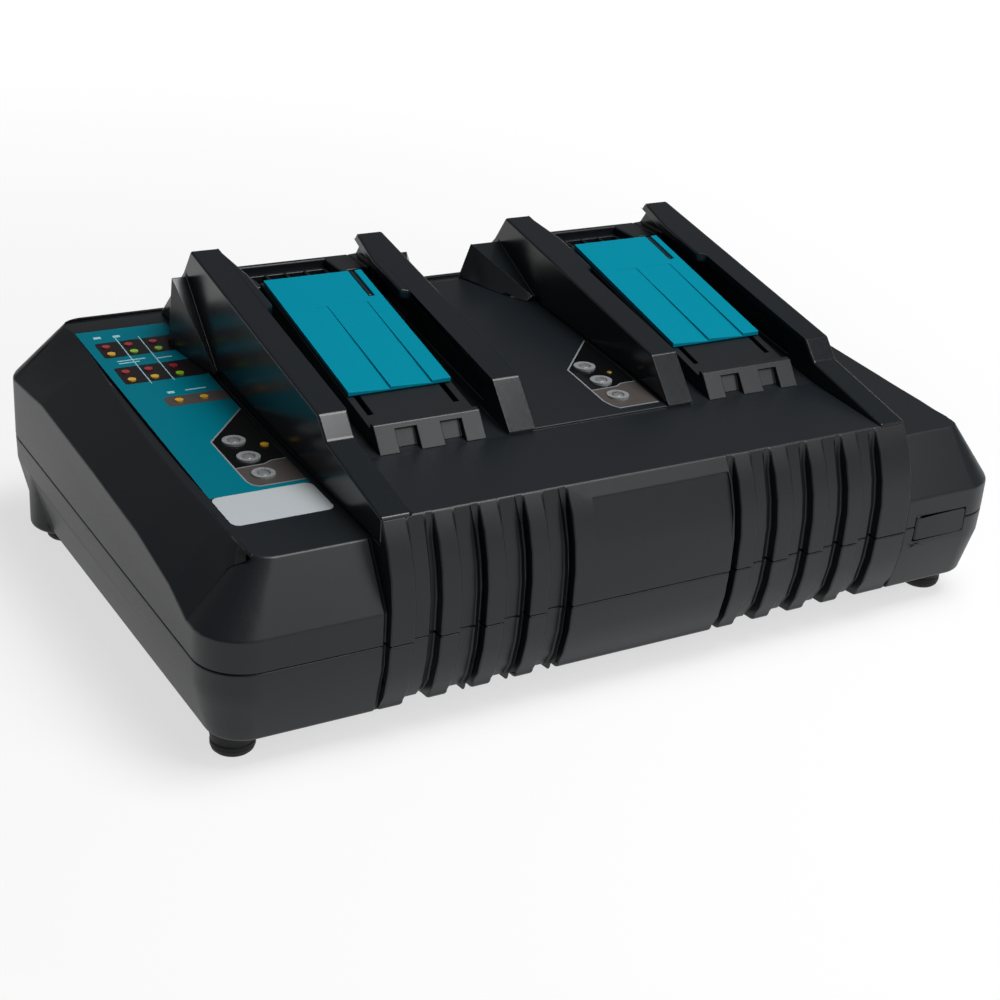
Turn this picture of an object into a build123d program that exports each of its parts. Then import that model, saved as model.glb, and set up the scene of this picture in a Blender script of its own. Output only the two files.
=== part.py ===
from build123d import *
from math import radians, tan
import os

os.makedirs("parts", exist_ok=True)

# Two-bay fan-cooled battery charger. +X is to the user's right, +Y is away from the user and +Z is up.
# The origin is the middle of the footprint, on the surface that the four feet stand on. Millimetres.

# how a box or cylinder lies to its place: above it, or below it
STAND = (Align.CENTER, Align.CENTER, Align.MIN)
HANG = (Align.CENTER, Align.CENTER, Align.MAX)

# ---------------------------------------------------------------- housing sizes
BODY_W = 340.0
BODY_D = 226.8
SIDE_X = BODY_W / 2
FRONT_Y = -BODY_D / 2
REAR_Y = BODY_D / 2
CORNER_R = 18.0
WALL = 2.8
PART_Z = 40.0  # joint line between the two halves of the housing
BASE_Z = 11.0  # underside at the front edge of the base
BASE_FRONT_Y = FRONT_Y + 16.4
BASE_FALL = 0.024  # how much the underside comes down for each millimetre further back
BASE_ROUND = 2.4
BASE_TAPER = 2.0
LOWER_CREASE_Z = 30.5
LOWER_TAPER = 13.5  # inward lean of the lower walls below their crease
# the feet's columns, for the front pair and the rear pair: distance from the side wall, y and radius
COLUMN_FRONT = (16.0, FRONT_Y + 21.2, 11.0)
COLUMN_REAR = (14.5, REAR_Y - 31.0, 14.0)
COLUMN_ROUND = 2.0
COLUMN_STAND = 0.6
PANEL_PTS = [(FRONT_Y + 14.4, 73.7), (-58.0, 75.1), (-5.0, 77.5), (54.0, 81.7), (REAR_Y - 23.4, 85.0)]
PANEL_REAR_Z = 85.2
FRONT_CREASE_Z = 52.0
FRONT_SLOPE_D = 14.4  # depth that the front slope takes up to the panel
FRONT_TOP_Z = 73.7
REAR_CREASE_Z = 65.0
REAR_SLOPE_D = 8.4
CREST_R = {-1: 8.0, 1: 5.5}  # plan radius of the panel's front corners, left and right
CREST_REAR_R = 9.6
RIGHT_FULLER = 5.0  # the right block's panel reaches this much nearer to its side wall
# side slopes: depth, height of the crease on the wall, distance of the panel's edge from the wall
SHOULDER = [(FRONT_Y + 22.4, 52.0, 20.5), (-75.0, 58.0, 19.9), (-45.0, 63.0, 19.5), (0.0, 65.9, 19.3),
            (60.0, 68.4, 22.3), (REAR_Y - CORNER_R, REAR_CREASE_Z, 21.5)]

# ---------------------------------------------------------------- battery bays
LEFT_BLOCK_W = 62.8
RIGHT_BLOCK_W = 51.8
BAY_W = 60.3  # clear width between the two rails of a bay
RAIL_T = 11.5
BAND_X = (-SIDE_X + LEFT_BLOCK_W, SIDE_X - RIGHT_BLOCK_W)
BAY_X = {"left": BAND_X[0] + RAIL_T + BAY_W / 2, "right": BAND_X[1] - RAIL_T - BAY_W / 2}
CENTRE_X = (BAY_X["left"] + BAY_W / 2 + RAIL_T, BAY_X["right"] - BAY_W / 2 - RAIL_T)
FLOOR_Y0 = -63.5
FLOOR_Z0 = 85.0
FLOOR_SLOPE = 0.1525
SHELF_Y = 55.0
SHELF_Z = 111.0
SHELF_REAR_Y = 73.0
REAR_FOOT = (REAR_Y - 13.4, 84.6)
CENTRE_REAR = (84.0, 84.6)
CHANNEL_Y = 40.0
RAIL_PEAK = (65.0, 122.2)
RAIL_SLOPE = 0.1789
LIP_T = 4.0
LIP_EXTRA = 3.4
LIP_Y = (16.7, 43.0)
GROOVE_D = 3.5
INNER_NOSE = [(-64.4, 86.1), (-49.7, 101.7)]
OUTER_NOSE = [(FRONT_Y + 9.0, 83.2), (-60.9, 92.8), (-54.0, 100.3)]
GUSSET_FRONT_Y = 37.0
GUSSET_REAR_Y = 69.0

# ---------------------------------------------------------------- terminal towers and shutters
TOWER_W = 43.0
TOWER_WALL = 2.2
TOWER_FOOT = (-63.5, 85.0)
TOWER_BROW_Y = -56.8
TOWER_RIDGE_Y = -54.4
TOWER_REAR_Y = 43.5
SLIDE_Z = 98.5  # top of the shutter at its front edge
SLIDE_Y = -35.6
SLIDE_ANGLE = 12.5
DECK_DROP = 2.2
DECK_T = 2.2
NOTCH_W = 8.4
NOTCH_X = 9.1
NOTCH_D = 3.0
SHUTTER_W = 42.0
SHUTTER_REAR_Y = 41.5
SHUTTER_T = 1.9
SHUTTER_TRAVEL = 18.0
SHUTTER_STEP = 0.9
SLOT_X = 16.6
SLOT_W = 2.6
SLOT_Y = 22.5
FIN_W = 1.5
HOOK_X = 17.4
HOOK_T = 1.6
HOOK_BARB = 1.2
HOOK_Y = [(-28.0, -16.0), (0.0, 12.0)]
RUN_GAP = 0.3
LUG_W = 2.0
LUG_Y = -14.0
LUG_T = 2.5
SPRING_R = 1.4
SPRING_WIRE = 0.5
SPRING_TURNS = 12
SPRING_AXIS_DROP = 6.2
SPRING_FRONT_Y = -50.5

# ---------------------------------------------------------------- front ribs
RIB_STAND = 2.0  # how far the ribbed band stands in front of the side blocks
RIB_LOW = 2.2
RIB_GROOVE = 4.2
GROOVE_W = 3.0
HIGH_W = 7.6
LOW_W = 6.8
LEFT_PITCH = 17.5
RIGHT_PITCH = 16.8
LEFT_GROOVE_X = BAND_X[0] + 17.6
RIGHT_GROOVE_X = BAND_X[1] - 83.5
GAP_W = 1.4  # narrow upright groove between the ribbed band and each side block
GAP_D = 1.6
BAND_CREASE = (FRONT_Y + 9.0, 82.7)
PAD_REAR = (-63.5, 85.0)


def slide_z(y):
    """Height of the shutter's sliding plane at depth y."""
    return SLIDE_Z + tan(radians(SLIDE_ANGLE)) * (y - SLIDE_Y)


def floor_z(y):
    """Height of the bay floor at depth y."""
    return FLOOR_Z0 + FLOOR_SLOPE * (y - FLOOR_Y0)


def rail_z(y):
    """Height of the rail's top face at depth y."""
    return RAIL_PEAK[1] + RAIL_SLOPE * (y - RAIL_PEAK[0])


def base_z(y):
    """Height of the housing's underside at depth y."""
    return BASE_Z - BASE_FALL * (y - BASE_FRONT_Y)


def side_face(x, points):
    """A closed outline of (y, z) points on the plane at the given x."""
    with BuildSketch(Plane.YZ.offset(x), mode=Mode.PRIVATE) as outline:
        with BuildLine():
            Polyline(*points, close=True)
        make_face()
    return outline.sketch


def plan_face(z, points):
    """A closed outline of (x, y) points on the level plane at the given height."""
    with BuildSketch(Plane.XY.offset(z), mode=Mode.PRIVATE) as outline:
        with BuildLine():
            Polyline(*points, close=True)
        make_face()
    return outline.sketch


def panel_z(y):
    """Height of the low blocks' curved top at depth y, between its given points."""
    for (y0, z0), (y1, z1) in zip(PANEL_PTS, PANEL_PTS[1:]):
        if y <= y1:
            return z0 + (z1 - z0) * (y - y0) / (y1 - y0)
    return PANEL_REAR_Z


def panel_face(x, inset):
    """Side outline of the housing's low blocks, with a smoothly curved top."""
    front = FRONT_Y + inset
    rear = REAR_Y - inset
    crown_pts = [(y, z - inset) for y, z in PANEL_PTS]
    with BuildSketch(Plane.YZ.offset(x), mode=Mode.PRIVATE) as outline:
        with BuildLine():
            nose = Polyline((front, PART_Z), (front, crown_pts[0][1] - 0.4), crown_pts[0])
            Spline(*crown_pts)
            tail = Polyline(crown_pts[-1], (rear, PANEL_REAR_Z - inset), (rear, PART_Z))
            Line(tail @ 1, nose @ 0)
        make_face()
    return outline.sketch


def shoulder_cut(side, inset):
    """Room outside one long side slope, whose crease comes down towards both corners."""
    low_x = side * (SIDE_X + 6.0)
    with BuildPart(mode=Mode.PRIVATE) as room:
        for y, crease_z, edge in SHOULDER:
            run = edge - (RIGHT_FULLER if side > 0 else 0.0)
            slope = (panel_z(y) - crease_z) / run
            low_z = crease_z - inset * (1.0 + slope * slope) ** 0.5
            with BuildSketch(Plane.XZ.offset(-y)):
                with BuildLine():
                    Polyline((low_x, low_z - 6.0 * slope), (side * (SIDE_X - (100.0 - low_z) / slope), 100.0),
                             (low_x, 100.0), close=True)
                make_face()
        loft(ruled=True)
    return room.part


def corner_cut(side, inset, front):
    """Room outside one corner, whose slopes meet in a cone that grows narrower upwards."""
    low = FRONT_CREASE_Z if front else REAR_CREASE_Z
    rise = (FRONT_TOP_Z if front else PANEL_REAR_Z) - low
    depth = FRONT_SLOPE_D if front else REAR_SLOPE_D
    edge = SHOULDER[0 if front else -1][2] - (RIGHT_FULLER if side > 0 else 0.0)
    crest_r = CREST_R[side] if front else CREST_REAR_R
    way = 1 if front else -1
    zone_y = FRONT_Y + 22.4 if front else REAR_Y - CORNER_R
    # the kept block reaches well past the middle, so that only its outer corner is in the room
    keep_w = SIDE_X + 60.0
    keep_d = 100.0
    with BuildPart(mode=Mode.PRIVATE) as keep:
        for z in (low - 6.0, low + rise + 5.8):
            part = (z - low) / rise
            wall_x = SIDE_X - edge * part - 1.4 * inset
            wall_y = -REAR_Y + depth * part + 1.2 * inset
            radius = (CORNER_R + (crest_r - CORNER_R) * part) * (0.8 if inset else 1.0)
            with BuildSketch(Plane.XY.offset(z)):
                with Locations((side * (wall_x - keep_w / 2), way * (wall_y + keep_d / 2))):
                    RectangleRounded(keep_w, keep_d, radius)
        loft(ruled=True)
    with BuildPart(mode=Mode.PRIVATE) as room:
        with Locations((side * (SIDE_X + 10.0), zone_y, low - 6.0)):
            Box(SIDE_X + 10.0, 40.0, rise + 11.8,
                align=(Align.MAX if side > 0 else Align.MIN, Align.MAX if front else Align.MIN, Align.MIN))
        add(keep.part, mode=Mode.SUBTRACT)
    return room.part


def lower_block(inset):
    """Lower half: an upright band, then walls that lean inwards down to the sloping underside."""
    with BuildPart(mode=Mode.PRIVATE) as block:
        with BuildSketch(Plane.XY.offset(PART_Z)):
            RectangleRounded(BODY_W - 2 * inset, BODY_D - 2 * inset, CORNER_R - inset)
        extrude(amount=-(PART_Z - LOWER_CREASE_Z), taper=BASE_TAPER)
        extrude(block.faces().sort_by(Axis.Z)[0], amount=LOWER_CREASE_Z - 4.0, taper=LOWER_TAPER)
        under = Plane(origin=(0, BASE_FRONT_Y, BASE_Z + inset), z_dir=(0, BASE_FALL, 1))
        split(bisect_by=under, keep=Keep.TOP)
    return block.part


# ---------------------------------------------------------------- core of the upper half
with BuildPart() as upper_core:
    extrude(panel_face(-BODY_W / 2, WALL), amount=BODY_W)
    with BuildSketch(Plane.XY.offset(PART_Z)):
        RectangleRounded(BODY_W - 2 * WALL, BODY_D - 2 * WALL, CORNER_R - WALL)
    extrude(amount=90, mode=Mode.INTERSECT)
    for side in (-1, 1):
        add(shoulder_cut(side, WALL), mode=Mode.SUBTRACT)
        add(corner_cut(side, WALL, True), mode=Mode.SUBTRACT)
        add(corner_cut(side, WALL, False), mode=Mode.SUBTRACT)
    band_core = [(FRONT_Y + 4.4, PART_Z), (FRONT_Y + 4.4, 54.0), (FRONT_Y + 7.4, 68.0),
                 (FRONT_Y + 12.4, 79.6), (PAD_REAR[0], PAD_REAR[1] - WALL), (PAD_REAR[0], PART_Z)]
    band_core_w = BAND_X[1] - BAND_X[0] - 2 * RAIL_T - 2 * WALL
    extrude(side_face(BAND_X[0] + RAIL_T + WALL, band_core), amount=band_core_w)
    for bay_x in BAY_X.values():
        bay_core = [(FLOOR_Y0 - 1.0, 60.0), (FLOOR_Y0 - 1.0, FLOOR_Z0 - WALL),
                    (SHELF_Y + WALL, floor_z(SHELF_Y + WALL) - WALL), (SHELF_Y + WALL, SHELF_Z - WALL),
                    (SHELF_REAR_Y - WALL * 0.4, SHELF_Z - WALL), (REAR_FOOT[0] - WALL, REAR_FOOT[1] - WALL),
                    (REAR_FOOT[0] - WALL, 60.0)]
        extrude(side_face(bay_x - BAY_W / 2 + WALL, bay_core), amount=BAY_W - 2 * WALL)
    centre_core = [(FLOOR_Y0 - 1.0, 60.0), (FLOOR_Y0 - 1.0, 82.2), (-57.0, 83.4), (-30.0, 86.4), (0.0, 88.9),
                   (36.0, 91.3), (67.0, 93.2), (81.5, 82.0), (81.5, 60.0)]
    centre_x0 = BAY_X["left"] + BAY_W / 2 - WALL
    centre_x1 = BAY_X["right"] - BAY_W / 2 + WALL
    extrude(side_face(centre_x0, centre_core), amount=centre_x1 - centre_x0)

# ---------------------------------------------------------------- shared cutters
BAND_Y = FRONT_Y - RIB_STAND
BAND_FRONT = [(BAND_Y, PART_Z), (BAND_Y, 54.0), (BAND_Y + 1.8, 64.0), (BAND_Y + 5.4, 74.0), BAND_CREASE]
BAND_UNDER = [(BAND_Y, PART_Z), (BAND_Y + 0.8, 30.0), (BAND_Y + 3.2, 19.5), (BAND_Y + 7.2, 12.8),
              (BASE_FRONT_Y, BASE_Z)]
FIELD_X = (BAY_X["left"] + 39.55, BAY_X["right"] - 44.05)
FIELD = [(BAND_Y, 54.0), (BAND_Y + 2.9, 64.0), (BAND_Y + 6.7, 74.0), (BAND_Y + 8.4, 77.5),
         (BAND_Y + 3.4, 78.3), (BAND_Y - 4.6, 66.0)]
BAND_BACKING = [(BAND_Y + 4.4, PART_Z), (BAND_Y + 6.4, PART_Z), (BAND_Y + 7.2, 30.0), (BAND_Y + 10.3, 20.5),
                (BAND_Y + 15.9, 16.6), (BAND_Y + 20.4, BASE_Z + WALL), (BAND_Y + 10.4, BASE_Z + 1.0),
                (BAND_Y + 5.4, 20.5)]
GROOVES = [LEFT_GROOVE_X + k * LEFT_PITCH for k in range(4)]
GROOVES += [RIGHT_GROOVE_X + k * RIGHT_PITCH for k in range(5)]
LOWS = [x + GROOVE_W / 2 + HIGH_W for x in GROOVES[:3]] + [x + GROOVE_W / 2 + HIGH_W for x in GROOVES[4:8]]
LOWS.append(LEFT_GROOVE_X - GROOVE_W / 2 - LOW_W)


def strip_cut(x0, width, depth, line, ends):
    """Solid that lowers a strip of the front band, fading out at the named ends of its line."""
    inner = [(y + (0.0 if k in ends else depth), z) for k, (y, z) in enumerate(line)]
    outer_y = BAND_Y - 6.0
    top_z = line[-1][1]
    return side_face(x0, [*inner, (outer_y, top_z), (outer_y, line[0][1])]), width


STRIPS = [(x - GROOVE_W / 2, GROOVE_W, RIB_GROOVE) for x in GROOVES]
STRIPS += [(x, LOW_W, RIB_LOW) for x in LOWS]


def gap_cuts(line):
    """The two narrow grooves beside the band, cut to one depth behind a block's front line."""
    outer_y = FRONT_Y - 6.0
    inner = [(y + GAP_D, z) for y, z in line]
    outline = [*inner, (outer_y, line[-1][1]), (outer_y, line[0][1])]
    with BuildPart(mode=Mode.PRIVATE) as gaps:
        for x0 in (BAND_X[0] - GAP_W, BAND_X[1]):
            extrude(side_face(x0, outline), amount=GAP_W)
    return gaps.part


BLOCK_FRONT = [(FRONT_Y, PART_Z), (FRONT_Y, FRONT_CREASE_Z), (FRONT_Y + FRONT_SLOPE_D, FRONT_TOP_Z)]
LOWER_LEAN = (PART_Z - LOWER_CREASE_Z) * tan(radians(BASE_TAPER))
BLOCK_UNDER = [(FRONT_Y + LOWER_LEAN + LOWER_CREASE_Z * tan(radians(LOWER_TAPER)), 0.0),
               (FRONT_Y + LOWER_LEAN, LOWER_CREASE_Z), (FRONT_Y, PART_Z)]

# ---------------------------------------------------------------- legend shapes, as seen from above
LABEL_X = (-SIDE_X + 23.0, BAND_X[0] - 2.2)
LABEL_Y = (-54.2, 88.0)
LABEL_T = 0.3
PLATE_Y = -75.5
WINDOW_A_X = LABEL_X[1]
WINDOW_A = [(WINDOW_A_X, 8.6), (WINDOW_A_X - 20.9, -13.7), (WINDOW_A_X - 20.9, -46.5),
            (WINDOW_A_X - 17.9, -51.8), (WINDOW_A_X, -51.8)]
WINDOW_B_X = CENTRE_X[1] - 1.0
WINDOW_B = [(WINDOW_B_X, -4.5), (WINDOW_B_X - 21.9, -26.8), (WINDOW_B_X - 21.9, -53.0),
            (WINDOW_B_X - 18.4, -60.0), (WINDOW_B_X, -60.0)]
RING_R = 4.3
RING_HOLE_R = 2.6
RINGS_A = [(WINDOW_A_X - 13.0, y) for y in (-16.0, -29.7, -43.3)]
RINGS_B = [(WINDOW_B_X - 13.5, y) for y in (-26.4, -38.6, -50.8)]
LENS_R = 1.6
LENS_COLS = [WINDOW_A_X - 30.1, WINDOW_A_X - 20.9, WINDOW_A_X - 10.8]
LENS_RED_Y = [73.0, 50.4]
LENS_YELLOW = [(LENS_COLS[0], 66.6), (LENS_COLS[0], 43.4), (LENS_COLS[1], 43.4), (LENS_COLS[1] + 1.5, 21.6),
               (LENS_COLS[2] + 1.3, 21.6), (WINDOW_A_X - 3.7, -22.3)]
LENS_GREEN = [(LENS_COLS[1], 66.6), (LENS_COLS[2], 66.6), (LENS_COLS[2], 43.4)]
LENS_RED = [(x, y) for y in LENS_RED_Y for x in LENS_COLS]
CENTRE_PTS = [BAND_CREASE, (-63.5, 85.9), (-57.0, 86.7), (-30.0, 89.7), (0.0, 92.0), (36.0, 94.4),
              (68.0, 96.3)]

with BuildPart() as panel_skin:
    skin_pts = [(y, z) for y, z in PANEL_PTS]
    with BuildSketch(Plane.YZ.offset(LABEL_X[0] - 5.0)):
        with BuildLine():
            top_edge = Spline(*skin_pts)
            low_edge = Spline(*[(y, z - LABEL_T) for y, z in skin_pts])
            Line(top_edge @ 0, low_edge @ 0)
            Line(top_edge @ 1, low_edge @ 1)
        make_face()
    extrude(amount=LABEL_X[1] - LABEL_X[0] + 10.0)

with BuildPart() as centre_skin:
    low_pts = [(y, z - LABEL_T) for y, z in CENTRE_PTS]
    extrude(side_face(CENTRE_X[0], CENTRE_PTS + low_pts[::-1]), amount=CENTRE_X[1] - CENTRE_X[0])

with BuildPart() as legend_label:
    add(panel_skin.part)
    label_pts = [(LABEL_X[0], LABEL_Y[0]), (LABEL_X[0], LABEL_Y[1]), (LABEL_X[1], LABEL_Y[1]),
                 (LABEL_X[1], WINDOW_A[0][1]), *WINDOW_A[1:], (LABEL_X[1], LABEL_Y[0])]
    extrude(plan_face(60.0, label_pts), amount=40.0, mode=Mode.INTERSECT)
    with Locations(*[(x, y, 75.0) for x, y in LENS_RED + LENS_YELLOW[:5] + LENS_GREEN]):
        Cylinder(LENS_R, 60.0, mode=Mode.SUBTRACT)
legend_label.part.label = "legend_label"

with BuildPart() as blank_plate:
    add(panel_skin.part)
    with BuildSketch(Plane.XY.offset(60.0)):
        with Locations(((LABEL_X[0] + LABEL_X[1]) / 2, (LABEL_Y[0] + PLATE_Y) / 2)):
            RectangleRounded(LABEL_X[1] - LABEL_X[0], LABEL_Y[0] - PLATE_Y, 3.0)
    extrude(amount=40.0, mode=Mode.INTERSECT)
blank_plate.part.label = "blank_plate"

with BuildPart() as status_window_left:
    add(panel_skin.part)
    extrude(plan_face(60.0, WINDOW_A), amount=40.0, mode=Mode.INTERSECT)
    with Locations(*[(x, y, 75.0) for x, y in RINGS_A]):
        Cylinder(RING_R, 60.0, mode=Mode.SUBTRACT)
    with Locations((LENS_YELLOW[5][0], LENS_YELLOW[5][1], 75.0)):
        Cylinder(LENS_R, 60.0, mode=Mode.SUBTRACT)
status_window_left.part.label = "status_window_left"

with BuildPart() as status_window_centre:
    add(centre_skin.part)
    extrude(plan_face(60.0, WINDOW_B), amount=50.0, mode=Mode.INTERSECT)
    with Locations(*[(x, y, 85.0) for x, y in RINGS_B]):
        Cylinder(RING_R, 60.0, mode=Mode.SUBTRACT)
status_window_centre.part.label = "status_window_centre"

# ---------------------------------------------------------------- USB port position
USB_X = (SIDE_X - 45.0, SIDE_X - 19.0)
USB_Z = (33.8, 44.2)
USB_COVER_T = 2.2
USB_SOCKET_W = 13.1
USB_SOCKET_H = 5.7
USB_SOCKET_L = 16.0
USB_MID_X = (USB_X[0] + USB_X[1]) / 2
USB_MID_Z = (USB_Z[0] + USB_Z[1]) / 2
USB_GAP = 0.6


def usb_pocket():
    """Pocket of the cover and window of the socket, shared by both halves of the housing."""
    with BuildPart(mode=Mode.PRIVATE) as pocket:
        with Locations((USB_MID_X, FRONT_Y, USB_MID_Z)):
            Box(USB_X[1] - USB_X[0], 2 * (USB_COVER_T + USB_GAP), USB_Z[1] - USB_Z[0])
            Box(USB_SOCKET_W, 20.0, USB_SOCKET_H)
    return pocket.part


# ---------------------------------------------------------------- screw and foot positions
CORNER_SCREW = (SIDE_X - 28.0, REAR_Y - 29.4)
HOUSING_SCREWS = [(x * CORNER_SCREW[0], y * CORNER_SCREW[1]) for y in (-1, 1) for x in (-1, 1)]
HOUSING_SCREWS += [(0.0, FRONT_Y + 19.4), (5.5, REAR_Y - 17.4)]
BOSS_TOPS = [72.5, 72.5, 83.0, 83.0, 80.9, 83.4]
SCREW_R = 2.0
SCREW_HEAD_R = 4.0
SCREW_HEAD_H = 3.0
SCREW_SINK = 3.5
SCREW_L = 37.0
SCREW_DRIVE = (4.8, 1.0, 2.0)  # cross slot: length, width and size up and down
BOSS_R = 6.0
FOOT_R = 8.9
FOOT_LOW_R = 7.4
FOOT_RING_R = 7.9
FOOT_SPIGOT_R = 3.0
RAIL_SCREW_Y = [-20.0, 30.0]
BOARD_Z = 23.0
BOARD_T = 1.6
BOARD_X = (-SIDE_X + 42.0, SIDE_X - 58.0)
BOARD_Y = (FRONT_Y + 29.4, REAR_Y - 37.4)
BOARD_MARGIN = 6.0
BOARD_SCREWS = [(x, y) for x in (BOARD_X[0] + BOARD_MARGIN, sum(BOARD_X) / 2, BOARD_X[1] - BOARD_MARGIN)
                for y in (BOARD_Y[0] + BOARD_MARGIN, BOARD_Y[1] - BOARD_MARGIN)]
COLLAR_Y = (46.5, 72.0)
COLLAR_Z = 102.0
DUCT_X = 18.3
DUCT_Y = (48.7, 70.3)
DUCT_T = 1.8
GRILLE_X = 18.5
GRILLE_Y = (48.5, 70.5)
GRILLE_Z = 104.5
GRILLE_T = 3.0
GRILLE_PITCH = 8.6
GRILLE_RIB = 1.4
GRILLE_RIM = 2.4
TRIM_GAP = 0.2
LEDGE = 2.0
VENT_Y = 10.0
VENT_L = 52.0
VENT_W = 3.2
VENT_PITCH = 7.0
VENT_COUNT = 9
BOARD_SCREW_R = 1.5
BOARD_SCREW_HEAD_R = 3.0
BOARD_SCREW_HEAD_H = 2.0
BOARD_SCREW_BITE = 6.0
BOARD_POST_R = 3.5
RAIL_SCREW_R = 1.5
RAIL_SCREW_HEAD_R = 2.8
RAIL_SCREW_HEAD_H = 2.0
RAIL_SCREW_L = 9.0
RAIL_SCREW_SEAT = 2.0  # from the outer surface down to the seat of the screw head
RAIL_PILOT_R = 1.5
RAIL_PILOT_L = 16.0
RAIL_PILOT_Z = {True: 72.0, False: 86.0}
GROOVE_Y0 = -44.0
GUSSET_OUTER = (6.5, 8.5, 2.0)
GUSSET_INNER = (14.0, 20.5, 10.0)
RING_STAND = 0.6
RING_H = 3.5
LENS_STAND = 0.4
LENS_H = 7.6
STEP_X = (4.0, 13.0)
STEP_REAR_Y = 19.0
LUG_DEPTH = 8.0
BLADE_X = 8.5
BLADE_T = 0.8
BLADE_Y = (16.0, 33.0)
BLADE_WIN_W = 24.0
BLADE_TIP_DROP = 2.6
BLADE_TAIL_Z = 84.0
BLOCK_Y = (2.0, 39.0)
BLOCK_W = 30.0
BLOCK_DROP = 8.5
SIGNAL_Y = 24.0
SIGNAL_W = 6.0
SIGNAL_L = 12.0
SIGNAL_DROP = 4.0
SIGNAL_PITCH = 1.7
SIGNAL_SLOT_W = 0.8
FAN_Y = 60.0
FAN_Z = 78.0
FAN_W = 40.0
FAN_H = 15.0
FAN_THROAT_R = 18.6
FAN_HUB_R = 8.0
FAN_STRUT_T = 2.0
FAN_PIN_R = 1.5
FAN_PIN_GAP = 0.05
FAN_ROTOR_R = 17.2
FAN_ROTOR_H = 10.0
FAN_BLADES = 7
FAN_BLADE_T = 0.9
FAN_ROTOR_GAP = 0.6
FAN_CHORD = 10.5
FAN_PITCH_ANGLE = 35.0
FAN_HOLE_SPAN = 32.0
FAN_HOLE_R = 1.7
FAN_SCREW_R = 1.4
FAN_SCREW_HEAD_R = 2.6
FAN_SCREW_HEAD_H = 1.8
FAN_SCREW_BITE = 3.5
FAN_POST_R = 2.4
FAN_POST_TOPS = {-1: 99.5, 1: 105.0}
DISPLAY_X = (LABEL_X[0] + 3.0, LABEL_X[1] - 1.6)
DISPLAY_Y = (-60.0, 76.5)
DISPLAY_DROP = 9.0
DISPLAY_POST_R = 2.5
DISPLAY_POSTS = [(x, y) for y in (-56.0, 60.0) for x in (LABEL_X[0] + 12.0, LABEL_X[1] - 5.6)]
USB_BOARD_Z = USB_MID_Z - USB_SOCKET_H / 2 - BOARD_T
USB_BOARD_X = (USB_X[0] + 1.0, USB_X[1] - 1.0)
USB_BOARD_Y = (FRONT_Y + 5.4, FRONT_Y + 22.4)
USB_POST_X = (USB_X[0] + 6.0, USB_X[1] - 6.0)
USB_POST_Y = FRONT_Y + 17.4
USB_POST_R = 3.0
USB_BACKING = ((USB_X[0] - 3.0, USB_X[1] + 2.0), (FRONT_Y + 2.4, FRONT_Y + 5.0),
               (USB_Z[0] - 3.8, USB_Z[1] + 3.8))
USB_HINGE_X = USB_X[0] + 1.4
USB_HINGE_PIN_R = 0.8
USB_HINGE_GAP = 0.05
USB_HINGE_PIN_L = 1.6
INLET_X = -SIDE_X + 52.0
INLET_Z = 29.5
INLET_R = 6.5
INLET_SEAT_R = 9.0
INLET_PAD_R = 10.0
INLET_SEAT_Y = REAR_Y - 1.5
CORD_BORE_R = 3.6
GLAND_FLANGE_R = 8.6
GLAND_OUT_Y = REAR_Y + 2.0
GLAND_CLIP_Y = INLET_SEAT_Y - 4.5
GLAND_IN_Y = GLAND_CLIP_Y - 2.6
USB_SOCKET_Y = FRONT_Y + USB_COVER_T + 1.0
USB_SHELL_T = 0.4
CORE_XY = (6.0, 18.0)
CORE_LIFT = 4.0
CORE_W = 46.0
CORE_D = 18.0
CORE_H = 38.0
CORE_YOKE = 7.0
CORE_WINDOW_W = 9.0
CORE_WINDOW_PITCH = 23.0
BULK_XY = [(-72.0, 34.0), (-44.0, 34.0)]
BULK_R = 11.0
BULK_H = 38.0
SINK_XY = [(-30.0, -40.0), (56.0, -40.0)]
SINK_BASE_T = 3.0
SINK_L = 62.0
SINK_H = 34.0
SINK_FIN_L = 16.0
SINK_FIN_T = 1.6
SINK_FINS = 8
SINK_PITCH = (SINK_L - SINK_FIN_T) / (SINK_FINS - 1)
TAB_T = 4.5
TAB_W = 10.0
TAB_H = 16.0
TAB_LIFT = 6.0
TAB_LEGS = (0.8, 6.0)
TAB_PITCH = 19.0
CHOKE_XY = [(-104.0, 8.0), (58.0, 34.0), (88.0, 34.0)]
CHOKE_R = 9.0
CHOKE_TUBE_R = 4.5
RELAY_XY = [(96.0, -16.0), (96.0, -40.0)]
RELAY_SIZE = (19.0, 15.5, 16.0)


def centre_z(y):
    """Height of the centre block's top at depth y."""
    for (y0, z0), (y1, z1) in zip(CENTRE_PTS, CENTRE_PTS[1:]):
        if y <= y1:
            return z0 + (z1 - z0) * (y - y0) / (y1 - y0)
    return CENTRE_PTS[-1][1]


def display_z(y):
    """Height of the display board's top face at depth y."""
    z0, z1 = [panel_z(end) - DISPLAY_DROP for end in DISPLAY_Y]
    return z0 + (z1 - z0) * (y - DISPLAY_Y[0]) / (DISPLAY_Y[1] - DISPLAY_Y[0])


def rear_z(y):
    """Height of the rear slope behind the bays at depth y."""
    return SHELF_Z - (y - SHELF_REAR_Y) * (SHELF_Z - REAR_FOOT[1]) / (REAR_FOOT[0] - SHELF_REAR_Y)


def above_panel(x):
    """Room of an outer rail's width above the low block's curved top."""
    rear_y = REAR_Y - REAR_SLOPE_D
    zone = [(BAND_CREASE[0], FRONT_TOP_Z), (BAND_CREASE[0], 130.0), (rear_y, 130.0), (rear_y, FRONT_TOP_Z)]
    with BuildPart(mode=Mode.PRIVATE) as room:
        extrude(side_face(x, zone), amount=RAIL_T)
        extrude(panel_face(x, 0.0), amount=RAIL_T, mode=Mode.SUBTRACT)
    return room.part


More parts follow.
